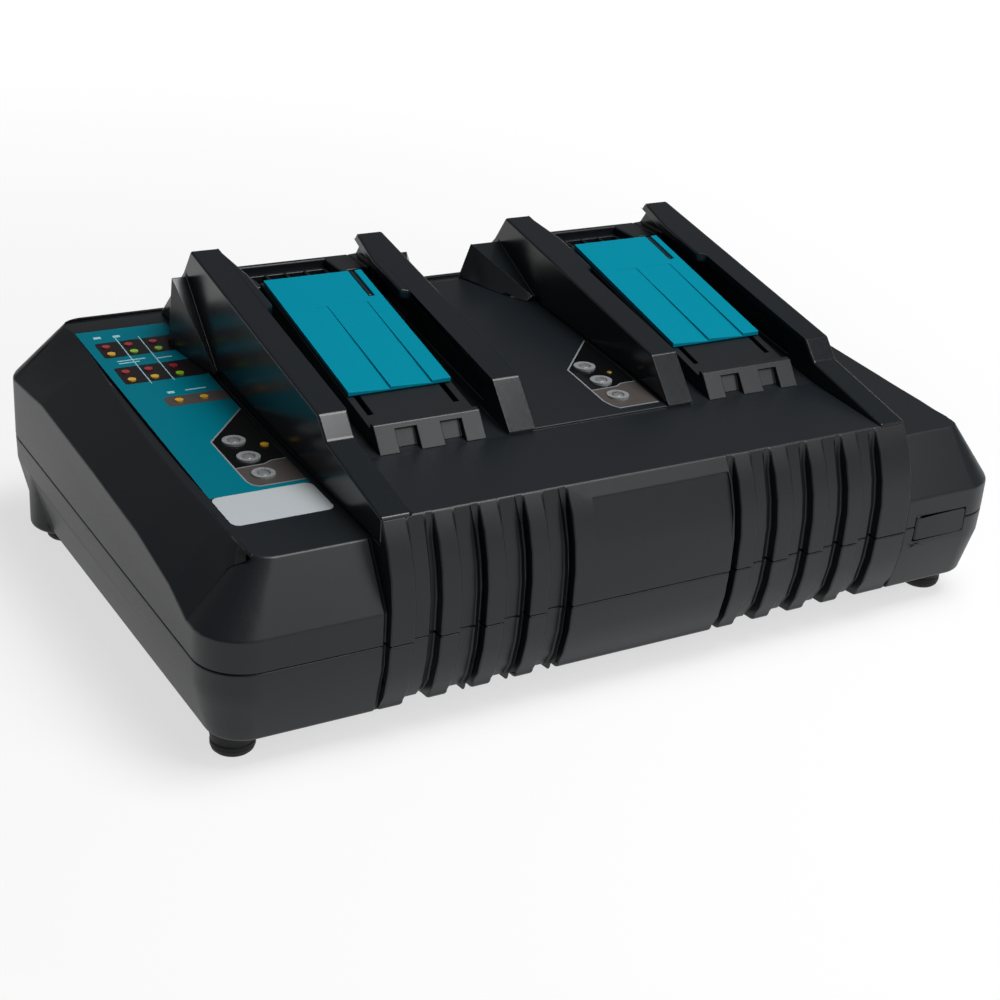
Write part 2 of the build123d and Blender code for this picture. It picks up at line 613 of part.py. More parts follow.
CENTRE_BLOCK = [*CENTRE_PTS[1:], CENTRE_REAR, (CENTRE_REAR[0], PART_Z), (CENTRE_PTS[1][0], PART_Z)]
rail_lines = []
for bay_x in BAY_X.values():
    rail_lines += [bay_x - BAY_W / 2 - RAIL_T / 2, bay_x + BAY_W / 2 + RAIL_T / 2]
rail_screw_seats = []
for y in RAIL_SCREW_Y:
    rail_screw_seats += [(rail_lines[k], y, panel_z(y) - RAIL_SCREW_SEAT) for k in (0, 3)]
    rail_screw_seats += [(rail_lines[k], y, centre_z(y) - RAIL_SCREW_SEAT) for k in (1, 2)]

# ---------------------------------------------------------------- upper half of the housing
with BuildPart() as upper_housing:
    extrude(panel_face(-BODY_W / 2, 0.0), amount=BODY_W)
    with BuildSketch(Plane.XY.offset(PART_Z)):
        RectangleRounded(BODY_W, BODY_D, CORNER_R)
    extrude(amount=90, mode=Mode.INTERSECT)
    for side in (-1, 1):
        add(shoulder_cut(side, 0.0), mode=Mode.SUBTRACT)
        add(corner_cut(side, 0.0, True), mode=Mode.SUBTRACT)
        add(corner_cut(side, 0.0, False), mode=Mode.SUBTRACT)
    # ribbed band and the sloping pad above it
    band_pts = [*BAND_FRONT, PAD_REAR, (PAD_REAR[0], PART_Z)]
    extrude(side_face(BAND_X[0], band_pts), amount=BAND_X[1] - BAND_X[0])
    # seats of the two outer rails, level with the low blocks
    add(above_panel(BAND_X[0]), mode=Mode.SUBTRACT)
    add(above_panel(BAND_X[1] - RAIL_T), mode=Mode.SUBTRACT)
    # raised bay floors with their rear shelves
    for bay_x in BAY_X.values():
        bay_pts = [(FLOOR_Y0, PART_Z), (FLOOR_Y0, FLOOR_Z0), (COLLAR_Y[0], floor_z(COLLAR_Y[0])),
                   (COLLAR_Y[0], SHELF_Z), (SHELF_REAR_Y, SHELF_Z), REAR_FOOT, (REAR_FOOT[0], PART_Z)]
        extrude(side_face(bay_x - BAY_W / 2, bay_pts), amount=BAY_W)
    # centre block between the bays, also the seat of the two inner rails
    centre_x0 = BAY_X["left"] + BAY_W / 2
    centre_w = BAY_X["right"] - BAY_X["left"] - BAY_W
    extrude(side_face(centre_x0, CENTRE_BLOCK), amount=centre_w)
    # hollow
    add(upper_core.part, mode=Mode.SUBTRACT)
    # front ribs
    for x0, width, depth in STRIPS:
        cut_face, cut_width = strip_cut(x0, width, depth, BAND_FRONT, [len(BAND_FRONT) - 1])
        extrude(cut_face, amount=cut_width, mode=Mode.SUBTRACT)
    add(gap_cuts(BLOCK_FRONT), mode=Mode.SUBTRACT)
    # recessed field on the smooth middle of the band
    extrude(side_face(FIELD_X[0], FIELD), amount=FIELD_X[1] - FIELD_X[0], mode=Mode.SUBTRACT)
    for bay_x in BAY_X.values():
        # channels beside the tower, carried back into the shelf
        for side in (-1, 1):
            channel_w = (BAY_W - TOWER_W) / 2
            channel_x = bay_x + side * (BAY_W / 2 - channel_w / 2) - channel_w / 2
            channel = [(CHANNEL_Y, floor_z(CHANNEL_Y)), (SHELF_Y, floor_z(SHELF_Y)), (SHELF_Y, 120.0),
                       (CHANNEL_Y, 120.0)]
            extrude(side_face(channel_x, channel), amount=channel_w, mode=Mode.SUBTRACT)
            floor_strip = [(CHANNEL_Y, floor_z(CHANNEL_Y) - WALL),
                           (SHELF_Y + WALL, floor_z(SHELF_Y + WALL) - WALL),
                           (SHELF_Y + WALL, SHELF_Z - 0.5), (SHELF_Y, SHELF_Z - 0.5),
                           (SHELF_Y, floor_z(SHELF_Y)), (CHANNEL_Y, floor_z(CHANNEL_Y))]
            extrude(side_face(channel_x, floor_strip), amount=channel_w)
        # collar of the cooling-air outlet, with a ledge for its grille
        with Locations((bay_x, sum(COLLAR_Y) / 2, (COLLAR_Z + SHELF_Z) / 2)):
            Box(TOWER_W, COLLAR_Y[1] - COLLAR_Y[0], SHELF_Z - COLLAR_Z)
        with Locations((bay_x, sum(DUCT_Y) / 2, COLLAR_Z)):
            Box(2 * DUCT_X, DUCT_Y[1] - DUCT_Y[0], 10.0, align=HANG, mode=Mode.SUBTRACT)
        mid_y = sum(GRILLE_Y) / 2
        grille_d = GRILLE_Y[1] - GRILLE_Y[0]
        with Locations((bay_x, mid_y, GRILLE_Z)):
            Box(2 * GRILLE_X, grille_d, 20.0, align=STAND, mode=Mode.SUBTRACT)
        with Locations((bay_x, mid_y, 100.0)):
            Box(2 * GRILLE_X - 2 * LEDGE, grille_d - 2 * LEDGE, 30.0, mode=Mode.SUBTRACT)
        # opening under the terminal block
        with Locations((bay_x, 20.0, 95.0)):
            Box(24.0, 28.0, 30.0, mode=Mode.SUBTRACT)
    # seats of the label, plate and windows
    for trim in (legend_label, blank_plate, status_window_left):
        add(trim.part, mode=Mode.SUBTRACT)
    add(status_window_centre.part, mode=Mode.SUBTRACT)
    with Locations(*[(x, y, 76.0) for x, y in LENS_RED + LENS_YELLOW + LENS_GREEN]):
        Cylinder(LENS_R, 30.0, mode=Mode.SUBTRACT)
    with Locations(*[(x, y, 80.0) for x, y in RINGS_A + RINGS_B]):
        Cylinder(RING_R, 40.0, mode=Mode.SUBTRACT)
    # USB window and its backing
    with Locations((sum(USB_BACKING[0]) / 2, sum(USB_BACKING[1]) / 2, PART_Z)):
        Box(USB_BACKING[0][1] - USB_BACKING[0][0], USB_BACKING[1][1] - USB_BACKING[1][0],
            USB_BACKING[2][1] - PART_Z, align=STAND)
    add(usb_pocket(), mode=Mode.SUBTRACT)
    with Locations((USB_HINGE_X, FRONT_Y + USB_COVER_T / 2, USB_Z[1])):
        Cylinder(USB_HINGE_PIN_R + USB_HINGE_GAP, 2 * USB_HINGE_PIN_L + 0.6, mode=Mode.SUBTRACT)
    # bosses for the housing screws
    for (x, y), boss_top in zip(HOUSING_SCREWS, BOSS_TOPS):
        with Locations((x, y, PART_Z)):
            Cylinder(BOSS_R, boss_top - PART_Z, align=STAND)
    with BuildSketch(Plane.XY.offset(PART_Z)):
        with Locations(*HOUSING_SCREWS):
            Circle(SCREW_R)
    extrude(amount=14.0, mode=Mode.SUBTRACT)
    # posts that the fans hang from
    for bay_x in BAY_X.values():
        for side, post_top in FAN_POST_TOPS.items():
            post_y = FAN_Y + side * FAN_HOLE_SPAN / 2
            with Locations((bay_x, post_y, FAN_Z + FAN_H)):
                with GridLocations(FAN_HOLE_SPAN, 0, 2, 1):
                    Cylinder(FAN_POST_R, post_top - FAN_Z - FAN_H, align=STAND)
            with Locations((bay_x, post_y, FAN_Z + FAN_H)):
                with GridLocations(FAN_HOLE_SPAN, 0, 2, 1):
                    Cylinder(FAN_SCREW_R, 8.0, mode=Mode.SUBTRACT)
    # posts that carry the display board
    for x, y in DISPLAY_POSTS:
        with Locations((x, y, display_z(y) + 0.2)):
            Cylinder(DISPLAY_POST_R, panel_z(y) - 1.0 - display_z(y), align=STAND)
    # holes for the rail screws
    for x, y, seat_z in rail_screw_seats:
        with Locations((x, y, seat_z)):
            Cylinder(RAIL_SCREW_R, 8.0, mode=Mode.SUBTRACT)
            Cylinder(RAIL_SCREW_HEAD_R + TRIM_GAP, 2 * RAIL_SCREW_HEAD_H, align=HANG, mode=Mode.SUBTRACT)
upper_housing.part.label = "upper_housing"
export_step(upper_housing.part, "parts/upper_housing.step")

# ---------------------------------------------------------------- lower half of the housing
SCREW_SEATS = [(x, y, base_z(y) + SCREW_SINK) for x, y in HOUSING_SCREWS]
COLUMNS = [(side * (SIDE_X - inset), y, base_z(y) - COLUMN_STAND, radius) for side in (-1, 1)
           for inset, y, radius in (COLUMN_FRONT, COLUMN_REAR)]

with BuildPart() as lower_housing:
    add(lower_block(0.0))
    fillet(lower_housing.faces().sort_by(Axis.Z)[0].edges(), radius=BASE_ROUND)
    # round columns at the corners, over the feet
    for x, y, low_z, radius in COLUMNS:
        with BuildPart(mode=Mode.PRIVATE) as column:
            with Locations((x, y, low_z)):
                Cylinder(radius, LOWER_CREASE_Z - low_z, align=STAND)
            fillet(column.edges().sort_by(Axis.Z)[0], radius=COLUMN_ROUND)
        add(column.part)
    under_pts = [*BAND_UNDER, (-80.0, base_z(-80.0)), (-80.0, PART_Z)]
    extrude(side_face(BAND_X[0], under_pts), amount=BAND_X[1] - BAND_X[0])
    add(lower_block(WALL), mode=Mode.SUBTRACT)
    for x, y, low_z, radius in COLUMNS:
        with Locations((x, y, low_z + WALL)):
            Cylinder(radius - WALL, LOWER_CREASE_Z - low_z - WALL, align=STAND, mode=Mode.SUBTRACT)
    # thicker wall behind the ribbed band
    extrude(side_face(BAND_X[0], BAND_BACKING), amount=BAND_X[1] - BAND_X[0])
    for x0, width, depth in STRIPS:
        cut_face, cut_width = strip_cut(x0, width, depth, BAND_UNDER[::-1], [0])
        extrude(cut_face, amount=cut_width, mode=Mode.SUBTRACT)
    add(gap_cuts(BLOCK_UNDER), mode=Mode.SUBTRACT)
    # cooling-air slots in the floor
    with BuildSketch(Plane.XY):
        for bay_x in BAY_X.values():
            with Locations((bay_x, VENT_Y)):
                with GridLocations(VENT_PITCH, 0, VENT_COUNT, 1):
                    SlotOverall(VENT_L, VENT_W, rotation=90)
    extrude(amount=BASE_Z + WALL, mode=Mode.SUBTRACT)
    # bosses and counterbored holes of the housing screws
    for x, y, seat_z in SCREW_SEATS:
        with Locations((x, y, base_z(y) + WALL / 2)):
            Cylinder(BOSS_R, PART_Z - base_z(y) - WALL / 2, align=STAND)
        with Locations((x, y, seat_z)):
            Cylinder(SCREW_R + 0.2, 2 * (PART_Z - seat_z) + 2.0, mode=Mode.SUBTRACT)
            Cylinder(SCREW_HEAD_R + 0.4, 2 * SCREW_SINK, align=HANG, mode=Mode.SUBTRACT)
    # posts of the main board and of the USB board
    posts = [(x, y, BOARD_POST_R, BOARD_Z) for x, y in BOARD_SCREWS]
    posts += [(x, USB_POST_Y, USB_POST_R, USB_BOARD_Z) for x in USB_POST_X]
    for x, y, post_r, top_z in posts:
        with Locations((x, y, base_z(y) + WALL / 2)):
            Cylinder(post_r, top_z - base_z(y) - WALL / 2, align=STAND)
    with Locations(*[(x, y, BOARD_Z) for x, y in BOARD_SCREWS]):
        Cylinder(BOARD_SCREW_R, 14.0, mode=Mode.SUBTRACT)
    # spigot holes of the feet
    for x, y, low_z, radius in COLUMNS:
        with Locations((x, y, low_z)):
            Cylinder(FOOT_SPIGOT_R, 30.0, mode=Mode.SUBTRACT)
    # USB window, its backing and the hinge's lower socket
    with Locations((sum(USB_BACKING[0]) / 2, sum(USB_BACKING[1]) / 2, PART_Z)):
        Box(USB_BACKING[0][1] - USB_BACKING[0][0], USB_BACKING[1][1] - USB_BACKING[1][0],
            PART_Z - USB_BACKING[2][0], align=HANG)
    add(usb_pocket(), mode=Mode.SUBTRACT)
    with Locations((USB_HINGE_X, FRONT_Y + USB_COVER_T / 2, USB_Z[0])):
        Cylinder(USB_HINGE_PIN_R + USB_HINGE_GAP, 2 * USB_HINGE_PIN_L + 0.6, mode=Mode.SUBTRACT)
    # cord inlet with a flat pad as its seat
    with Locations((INLET_X, GLAND_CLIP_Y, INLET_Z)):
        Cylinder(INLET_PAD_R, INLET_SEAT_Y - GLAND_CLIP_Y, rotation=(-90, 0, 0), align=STAND)
        Cylinder(GLAND_FLANGE_R, 6.0, rotation=(90, 0, 0), align=STAND, mode=Mode.SUBTRACT)
    with Locations((INLET_X, INLET_SEAT_Y, INLET_Z)):
        Cylinder(INLET_R, 20.0, rotation=(90, 0, 0), mode=Mode.SUBTRACT)
        Cylinder(INLET_SEAT_R, 10.0, rotation=(-90, 0, 0), align=STAND, mode=Mode.SUBTRACT)
lower_housing.part.label = "lower_housing"
export_step(lower_housing.part, "parts/lower_housing.step")

# ---------------------------------------------------------------- trim of the two status panels
export_step(legend_label.part, "parts/legend_label.step")
export_step(blank_plate.part, "parts/blank_plate.step")
export_step(status_window_left.part, "parts/status_window_left.step")
export_step(status_window_centre.part, "parts/status_window_centre.step")


ring_spots = [(x, y, panel_z(y)) for x, y in RINGS_A] + [(x, y, centre_z(y)) for x, y in RINGS_B]
with BuildPart() as ring_bezels:
    with Locations(*[(x, y, z + RING_STAND) for x, y, z in ring_spots]):
        Cylinder(RING_R, RING_H, align=HANG)
        Cylinder(RING_HOLE_R, 3 * RING_H, mode=Mode.SUBTRACT)
ring_bezels.part.label = "ring_bezels"
export_step(ring_bezels.part, "parts/ring_bezels.step")

with BuildPart() as ring_lenses:
    with Locations(*[(x, y, z + RING_STAND - 0.3) for x, y, z in ring_spots]):
        Cylinder(RING_HOLE_R, RING_H + 0.6, align=HANG)
ring_lenses.part.label = "ring_lenses"
export_step(ring_lenses.part, "parts/ring_lenses.step")


def lens_set(spots):
    """Round light pipes that stand in the panel's holes."""
    with BuildPart(mode=Mode.PRIVATE) as pipes:
        for x, y in spots:
            with Locations((x, y, panel_z(y) + LENS_STAND)):
                Cylinder(LENS_R, LENS_H, align=HANG)
    return pipes.part


with BuildPart() as lenses_red:
    add(lens_set(LENS_RED))
lenses_red.part.label = "lenses_red"
export_step(lenses_red.part, "parts/lenses_red.step")

with BuildPart() as lenses_yellow:
    add(lens_set(LENS_YELLOW))
lenses_yellow.part.label = "lenses_yellow"
export_step(lenses_yellow.part, "parts/lenses_yellow.step")

with BuildPart() as lenses_green:
    add(lens_set(LENS_GREEN))
lenses_green.part.label = "lenses_green"
export_step(lenses_green.part, "parts/lenses_green.step")

# ---------------------------------------------------------------- battery rails
outer_rail_line = [(OUTER_NOSE[0][0], 60.0), *OUTER_NOSE, RAIL_PEAK, (SHELF_REAR_Y, SHELF_Z), REAR_FOOT,
                   (REAR_FOOT[0], 60.0)]
inner_rail_line = [*INNER_NOSE, RAIL_PEAK, (SHELF_REAR_Y, SHELF_Z), (CENTRE_REAR[0], rear_z(CENTRE_REAR[0])),
                   CENTRE_REAR, *CENTRE_PTS[:0:-1]]


def rail(inner_x, away, outer_side):
    """One battery rail: wall, overhanging lip, open groove and rear gusset. away points out of the bay."""
    wall_x = inner_x if away > 0 else inner_x - RAIL_T
    with BuildPart(mode=Mode.PRIVATE) as wall:
        if outer_side:
            extrude(side_face(wall_x, outer_rail_line), amount=RAIL_T)
            add(above_panel(wall_x), mode=Mode.INTERSECT)
        else:
            extrude(side_face(wall_x, inner_rail_line), amount=RAIL_T)
        # groove for the battery's rail, under the lip and open at the rear
        groove_x = inner_x if away > 0 else inner_x - GROOVE_D
        groove_pts = [(GROOVE_Y0, floor_z(GROOVE_Y0)), (GROOVE_Y0, rail_z(GROOVE_Y0) - LIP_T),
                      (90.0, rail_z(90.0) - LIP_T), (90.0, SHELF_Z), (SHELF_Y, SHELF_Z),
                      (SHELF_Y, floor_z(SHELF_Y))]
        extrude(side_face(groove_x, groove_pts), amount=GROOVE_D, mode=Mode.SUBTRACT)
        # wider lip at the rear
        lip_plan = [(inner_x, LIP_Y[0]), (inner_x - away * LIP_EXTRA, LIP_Y[0] + 2.0),
                    (inner_x - away * LIP_EXTRA, LIP_Y[1]), (inner_x, RAIL_PEAK[0])]
        lip_slab = [(LIP_Y[0], rail_z(LIP_Y[0]) - LIP_T), (RAIL_PEAK[0], RAIL_PEAK[1] - LIP_T),
                    RAIL_PEAK, (LIP_Y[0], rail_z(LIP_Y[0]))]
        with BuildPart(mode=Mode.PRIVATE) as lip:
            slab_x = inner_x - LIP_EXTRA if away > 0 else inner_x
            extrude(side_face(slab_x, lip_slab), amount=LIP_EXTRA)
            extrude(plan_face(90.0, lip_plan), amount=40.0, mode=Mode.INTERSECT)
        add(lip.part)
        # tapering gusset against the wall's outer face
        root_x = inner_x + away * RAIL_T
        reach = GUSSET_OUTER if outer_side else GUSSET_INNER
        seat_z = panel_z(GUSSET_REAR_Y) if outer_side else centre_z(GUSSET_REAR_Y - 2.0)
        tip_z = panel_z(GUSSET_FRONT_Y) if outer_side else centre_z(GUSSET_FRONT_Y)
        rear_pts = [(root_x, seat_z - 3.0), (root_x, SHELF_Z), (root_x + away * reach[0], SHELF_Z),
                    (root_x + away * reach[1], seat_z - 3.0)]
        tip_pts = [(root_x, tip_z - 3.0), (root_x, tip_z + 2.0), (root_x + away * 1.0, tip_z + 2.0),
                   (root_x + away * reach[2], tip_z - 3.0)]
        with BuildPart(mode=Mode.PRIVATE) as gusset:
            with BuildSketch(Plane.XZ.offset(-GUSSET_REAR_Y)):
                with BuildLine():
                    Polyline(*rear_pts, close=True)
                make_face()
            with BuildSketch(Plane.XZ.offset(-GUSSET_FRONT_Y)):
                with BuildLine():
                    Polyline(*tip_pts, close=True)
                make_face()
            loft(ruled=True)
            under_w = max(reach) + 2.0
            under_x = root_x if away > 0 else root_x - under_w
            under = panel_face(under_x, 0.0) if outer_side else side_face(under_x, CENTRE_BLOCK)
            extrude(under, amount=under_w, mode=Mode.SUBTRACT)
        add(gusset.part)
        for y in RAIL_SCREW_Y:
            with Locations((wall_x + RAIL_T / 2, y, RAIL_PILOT_Z[outer_side])):
                Cylinder(RAIL_PILOT_R, RAIL_PILOT_L, align=STAND, mode=Mode.SUBTRACT)
    return wall.part


with BuildPart() as rail_left_outer:
    add(rail(BAY_X["left"] - BAY_W / 2, -1, True))
rail_left_outer.part.label = "rail_left_outer"
export_step(rail_left_outer.part, "parts/rail_left_outer.step")

with BuildPart() as rail_left_inner:
    add(rail(BAY_X["left"] + BAY_W / 2, 1, False))
rail_left_inner.part.label = "rail_left_inner"
export_step(rail_left_inner.part, "parts/rail_left_inner.step")

with BuildPart() as rail_right_inner:
    add(rail(BAY_X["right"] - BAY_W / 2, -1, False))
rail_right_inner.part.label = "rail_right_inner"
export_step(rail_right_inner.part, "parts/rail_right_inner.step")

with BuildPart() as rail_right_outer:
    add(rail(BAY_X["right"] + BAY_W / 2, 1, True))
rail_right_outer.part.label = "rail_right_outer"
export_step(rail_right_outer.part, "parts/rail_right_outer.step")

# ---------------------------------------------------------------- the pieces that both bays have
def tower(x):
    """Terminal tower: a hollow box under the shutter, with a slotted deck and a stepped brow."""
    deck_y0 = TOWER_RIDGE_Y
    brow_z = slide_z(TOWER_BROW_Y)
    outline = [TOWER_FOOT, (TOWER_BROW_Y, brow_z), (deck_y0, slide_z(deck_y0)),
               (deck_y0, slide_z(deck_y0) - DECK_DROP), (TOWER_REAR_Y, slide_z(TOWER_REAR_Y) - DECK_DROP),
               (TOWER_REAR_Y, floor_z(TOWER_REAR_Y))]
    inside_y0 = TOWER_BROW_Y + 1.0
    inside_y1 = TOWER_REAR_Y - TOWER_WALL
    drop = DECK_DROP + DECK_T
    hollow = [(inside_y0, floor_z(inside_y0) - 5.0), (inside_y0, floor_z(inside_y0) + 1.0),
              (SPRING_FRONT_Y, slide_z(SPRING_FRONT_Y) - drop), (inside_y1, slide_z(inside_y1) - drop),
              (inside_y1, floor_z(inside_y1) - 5.0)]
    with BuildPart(mode=Mode.PRIVATE) as box:
        extrude(side_face(x - TOWER_W / 2, outline), amount=TOWER_W)
        extrude(side_face(x - TOWER_W / 2 + TOWER_WALL, hollow), amount=TOWER_W - 2 * TOWER_WALL,
                mode=Mode.SUBTRACT)
        # two notches in the sloping brow
        face_z = TOWER_FOOT[1] - 0.2
        lift = (brow_z - TOWER_FOOT[1]) / (TOWER_BROW_Y - TOWER_FOOT[0])
        for side in (-1, 1):
            top_y = TOWER_BROW_Y - 1.2
            notch = [(TOWER_FOOT[0] - 3.0, face_z), (TOWER_FOOT[0] + NOTCH_D, face_z),
                     (top_y + NOTCH_D - 1.0, face_z + lift * (top_y - TOWER_FOOT[0])),
                     (TOWER_FOOT[0] - 3.0, face_z + lift * (top_y - TOWER_FOOT[0]))]
            extrude(side_face(x + side * NOTCH_X - NOTCH_W / 2, notch), amount=NOTCH_W, mode=Mode.SUBTRACT)
            # running slot of the shutter's hooks
            slot_y0 = HOOK_Y[0][0] - SHUTTER_TRAVEL - 0.8
            slot_y1 = HOOK_Y[1][1] + 0.6
            slot = [(slot_y0, slide_z(slot_y0) - 9.0), (slot_y0, slide_z(slot_y0) + 1.0),
                    (slot_y1, slide_z(slot_y1) + 1.0), (slot_y1, slide_z(slot_y1) - 9.0)]
            slot_w = HOOK_T + 2 * RUN_GAP
            extrude(side_face(x + side * HOOK_X - slot_w / 2, slot), amount=slot_w, mode=Mode.SUBTRACT)
        # running slot of the lug that pushes the spring
        lug_y0 = LUG_Y - SHUTTER_TRAVEL - 1.0
        lug_slot = [(lug_y0, slide_z(lug_y0) - 9.0), (lug_y0, slide_z(lug_y0) + 1.0),
                    (LUG_Y + LUG_T + 0.6, slide_z(LUG_Y) + 3.0), (LUG_Y + LUG_T + 0.6, slide_z(LUG_Y) - 8.0)]
        lug_w = LUG_W + 2 * RUN_GAP
        extrude(side_face(x - lug_w / 2, lug_slot), amount=lug_w, mode=Mode.SUBTRACT)
        # opening above the blades
        win_y0, win_y1 = (BLADE_Y[0] - 4.0, BLADE_Y[1] + 3.0)
        blade_win = [(win_y0, slide_z(win_y0) - 8.0), (win_y0, slide_z(win_y0) + 4.0),
                     (win_y1, slide_z(win_y1) + 3.0), (win_y1, slide_z(win_y1) - 10.0)]
        extrude(side_face(x - BLADE_WIN_W / 2, blade_win), amount=BLADE_WIN_W, mode=Mode.SUBTRACT)
        # fixed fin that keys the shutter's slot
        fin_y0 = SLOT_Y + 1.2
        fin = [(fin_y0, slide_z(fin_y0) - DECK_DROP - 1.0), (fin_y0, slide_z(fin_y0) - 0.4),
               (SHUTTER_REAR_Y, slide_z(SHUTTER_REAR_Y) - 0.4),
               (SHUTTER_REAR_Y, slide_z(SHUTTER_REAR_Y) - DECK_DROP - 1.0)]
        extrude(side_face(x + SLOT_X - FIN_W / 2, fin), amount=FIN_W)
    return box.part


def shutter(x):
    """Sliding shutter: a stepped plate with a keyed slot, four snap hooks and a lug for the spring."""
    plate = [(SLIDE_Y, slide_z(SLIDE_Y) - SHUTTER_T), (SLIDE_Y, slide_z(SLIDE_Y)),
             (SHUTTER_REAR_Y, slide_z(SHUTTER_REAR_Y)), (SHUTTER_REAR_Y, slide_z(SHUTTER_REAR_Y) - SHUTTER_T)]
    with BuildPart(mode=Mode.PRIVATE) as slide:
        extrude(side_face(x - SHUTTER_W / 2, plate), amount=SHUTTER_W)
        # two shallow shingle steps that run out towards the rear
        for x0, x1 in ((x - SHUTTER_W / 2, x - STEP_X[0]), (x - STEP_X[0], x + STEP_X[1])):
            front_pts = [(x0, slide_z(SLIDE_Y) + 0.01), (x1, slide_z(SLIDE_Y) + 0.01),
                         (x1, slide_z(SLIDE_Y) - SHUTTER_STEP)]
            rear_pts = [(x0, slide_z(STEP_REAR_Y) + 0.01), (x1, slide_z(STEP_REAR_Y) + 0.01),
                        (x1, slide_z(STEP_REAR_Y) - SHUTTER_STEP * 0.3)]
            with BuildSketch(Plane.XZ.offset(-SLIDE_Y)):
                with BuildLine():
                    Polyline(*front_pts, close=True)
                make_face()
            with BuildSketch(Plane.XZ.offset(-STEP_REAR_Y)):
                with BuildLine():
                    Polyline(*rear_pts, close=True)
                make_face()
            loft(ruled=True, mode=Mode.SUBTRACT)
        slot = [(SLOT_Y, slide_z(SLOT_Y) - 4.0), (SLOT_Y, slide_z(SLOT_Y) + 4.0),
                (60.0, slide_z(60.0) + 4.0), (60.0, slide_z(60.0) - 4.0)]
        extrude(side_face(x + SLOT_X - SLOT_W / 2, slot), amount=SLOT_W, mode=Mode.SUBTRACT)
        for side in (-1, 1):
            for y0, y1 in HOOK_Y:
                foot = DECK_DROP + DECK_T + RUN_GAP
                leg = [(y0, slide_z(y0) - foot - HOOK_BARB), (y0, slide_z(y0) - SHUTTER_T),
                       (y1, slide_z(y1) - SHUTTER_T), (y1, slide_z(y1) - foot - HOOK_BARB)]
                extrude(side_face(x + side * HOOK_X - HOOK_T / 2, leg), amount=HOOK_T)
                barb = [(y0, slide_z(y0) - foot - HOOK_BARB), (y0, slide_z(y0) - foot),
                        (y1, slide_z(y1) - foot), (y1, slide_z(y1) - foot - HOOK_BARB)]
                barb_x = x + side * (HOOK_X - HOOK_T / 2) - (HOOK_BARB if side > 0 else 0.0)
                extrude(side_face(barb_x, barb), amount=HOOK_BARB)
        lug = [(LUG_Y, slide_z(LUG_Y) - LUG_DEPTH), (LUG_Y, slide_z(LUG_Y) - SHUTTER_T),
               (LUG_Y + LUG_T, slide_z(LUG_Y + LUG_T) - SHUTTER_T),
               (LUG_Y + LUG_T, slide_z(LUG_Y + LUG_T) - LUG_DEPTH)]
        extrude(side_face(x - LUG_W / 2, lug), amount=LUG_W)
    return slide.part


def spring_axis_point(x, y):
    """Point on the spring's centre line at depth y."""
    return Vector(x, y, slide_z(y) - SPRING_AXIS_DROP)


def spring(x):
    """Round-wire compression spring that lies under the deck, along the slide."""
    start = spring_axis_point(x, SPRING_FRONT_Y + 1.0)
    end = spring_axis_point(x, LUG_Y - SPRING_WIRE / 2)
    length = (end - start).length
    with BuildPart(mode=Mode.PRIVATE) as coil:
        with BuildLine():
            turns = Helix(pitch=length / SPRING_TURNS, height=length, radius=SPRING_R)
        with BuildSketch(Plane(origin=turns @ 0, z_dir=turns % 0)):
            Circle(SPRING_WIRE / 2)
        sweep(path=turns, is_frenet=True)
    return coil.part.moved(Location(Plane(origin=start, z_dir=(end - start))))


def terminal_block(x):
    """Moulded block that holds the blades, seated on the bay floor round its opening."""
    y0, y1 = BLOCK_Y
    body = [(y0, floor_z(y0)), (y0, slide_z(y0) - BLOCK_DROP), (y1, slide_z(y1) - BLOCK_DROP),
            (y1, floor_z(y1))]
    with BuildPart(mode=Mode.PRIVATE) as block:
        extrude(side_face(x - BLOCK_W / 2, body), amount=BLOCK_W)
        for side in (-1, 1):
            with Locations((x + side * BLADE_X, sum(BLADE_Y) / 2, 100.0)):
                Box(BLADE_T, BLADE_Y[1] - BLADE_Y[0], 40.0, mode=Mode.SUBTRACT)
        with Locations((x, SIGNAL_Y, 100.0)):
            Box(SIGNAL_W, SIGNAL_L, 40.0, mode=Mode.SUBTRACT)
    return block.part


def blade(x):
    """Flat terminal blade that stands in the block and carries on below it."""
    y0, y1 = BLADE_Y
    plate = [(y0, BLADE_TAIL_Z), (y0, slide_z(y0) - BLADE_TIP_DROP - 1.2),
             (y0 + 1.6, slide_z(y0) - BLADE_TIP_DROP), (y1 - 1.0, slide_z(y1) - BLADE_TIP_DROP),
             (y1, slide_z(y1) - BLADE_TIP_DROP - 1.0), (y1, 94.0), (y0 + 6.0, 94.0), (y0 + 6.0, BLADE_TAIL_Z)]
    with BuildPart(mode=Mode.PRIVATE) as strip:
        extrude(side_face(x - BLADE_T / 2, plate), amount=BLADE_T)
    return strip.part


def signal_socket(x):
    """Small keyed socket for the battery's data contacts."""
    y0 = SIGNAL_Y - SIGNAL_L / 2
    y1 = SIGNAL_Y + SIGNAL_L / 2
    body = [(y0, 92.0), (y0, slide_z(y0) - SIGNAL_DROP), (y1, slide_z(y1) - SIGNAL_DROP), (y1, 92.0)]
    with BuildPart(mode=Mode.PRIVATE) as socket:
        extrude(side_face(x - SIGNAL_W / 2, body), amount=SIGNAL_W)
        with Locations((x, SIGNAL_Y + 1.0, slide_z(SIGNAL_Y) - SIGNAL_DROP)):
            with GridLocations(SIGNAL_PITCH, 0, 3, 1):
                Box(SIGNAL_SLOT_W, SIGNAL_L, 5.0, mode=Mode.SUBTRACT)
    return socket.part


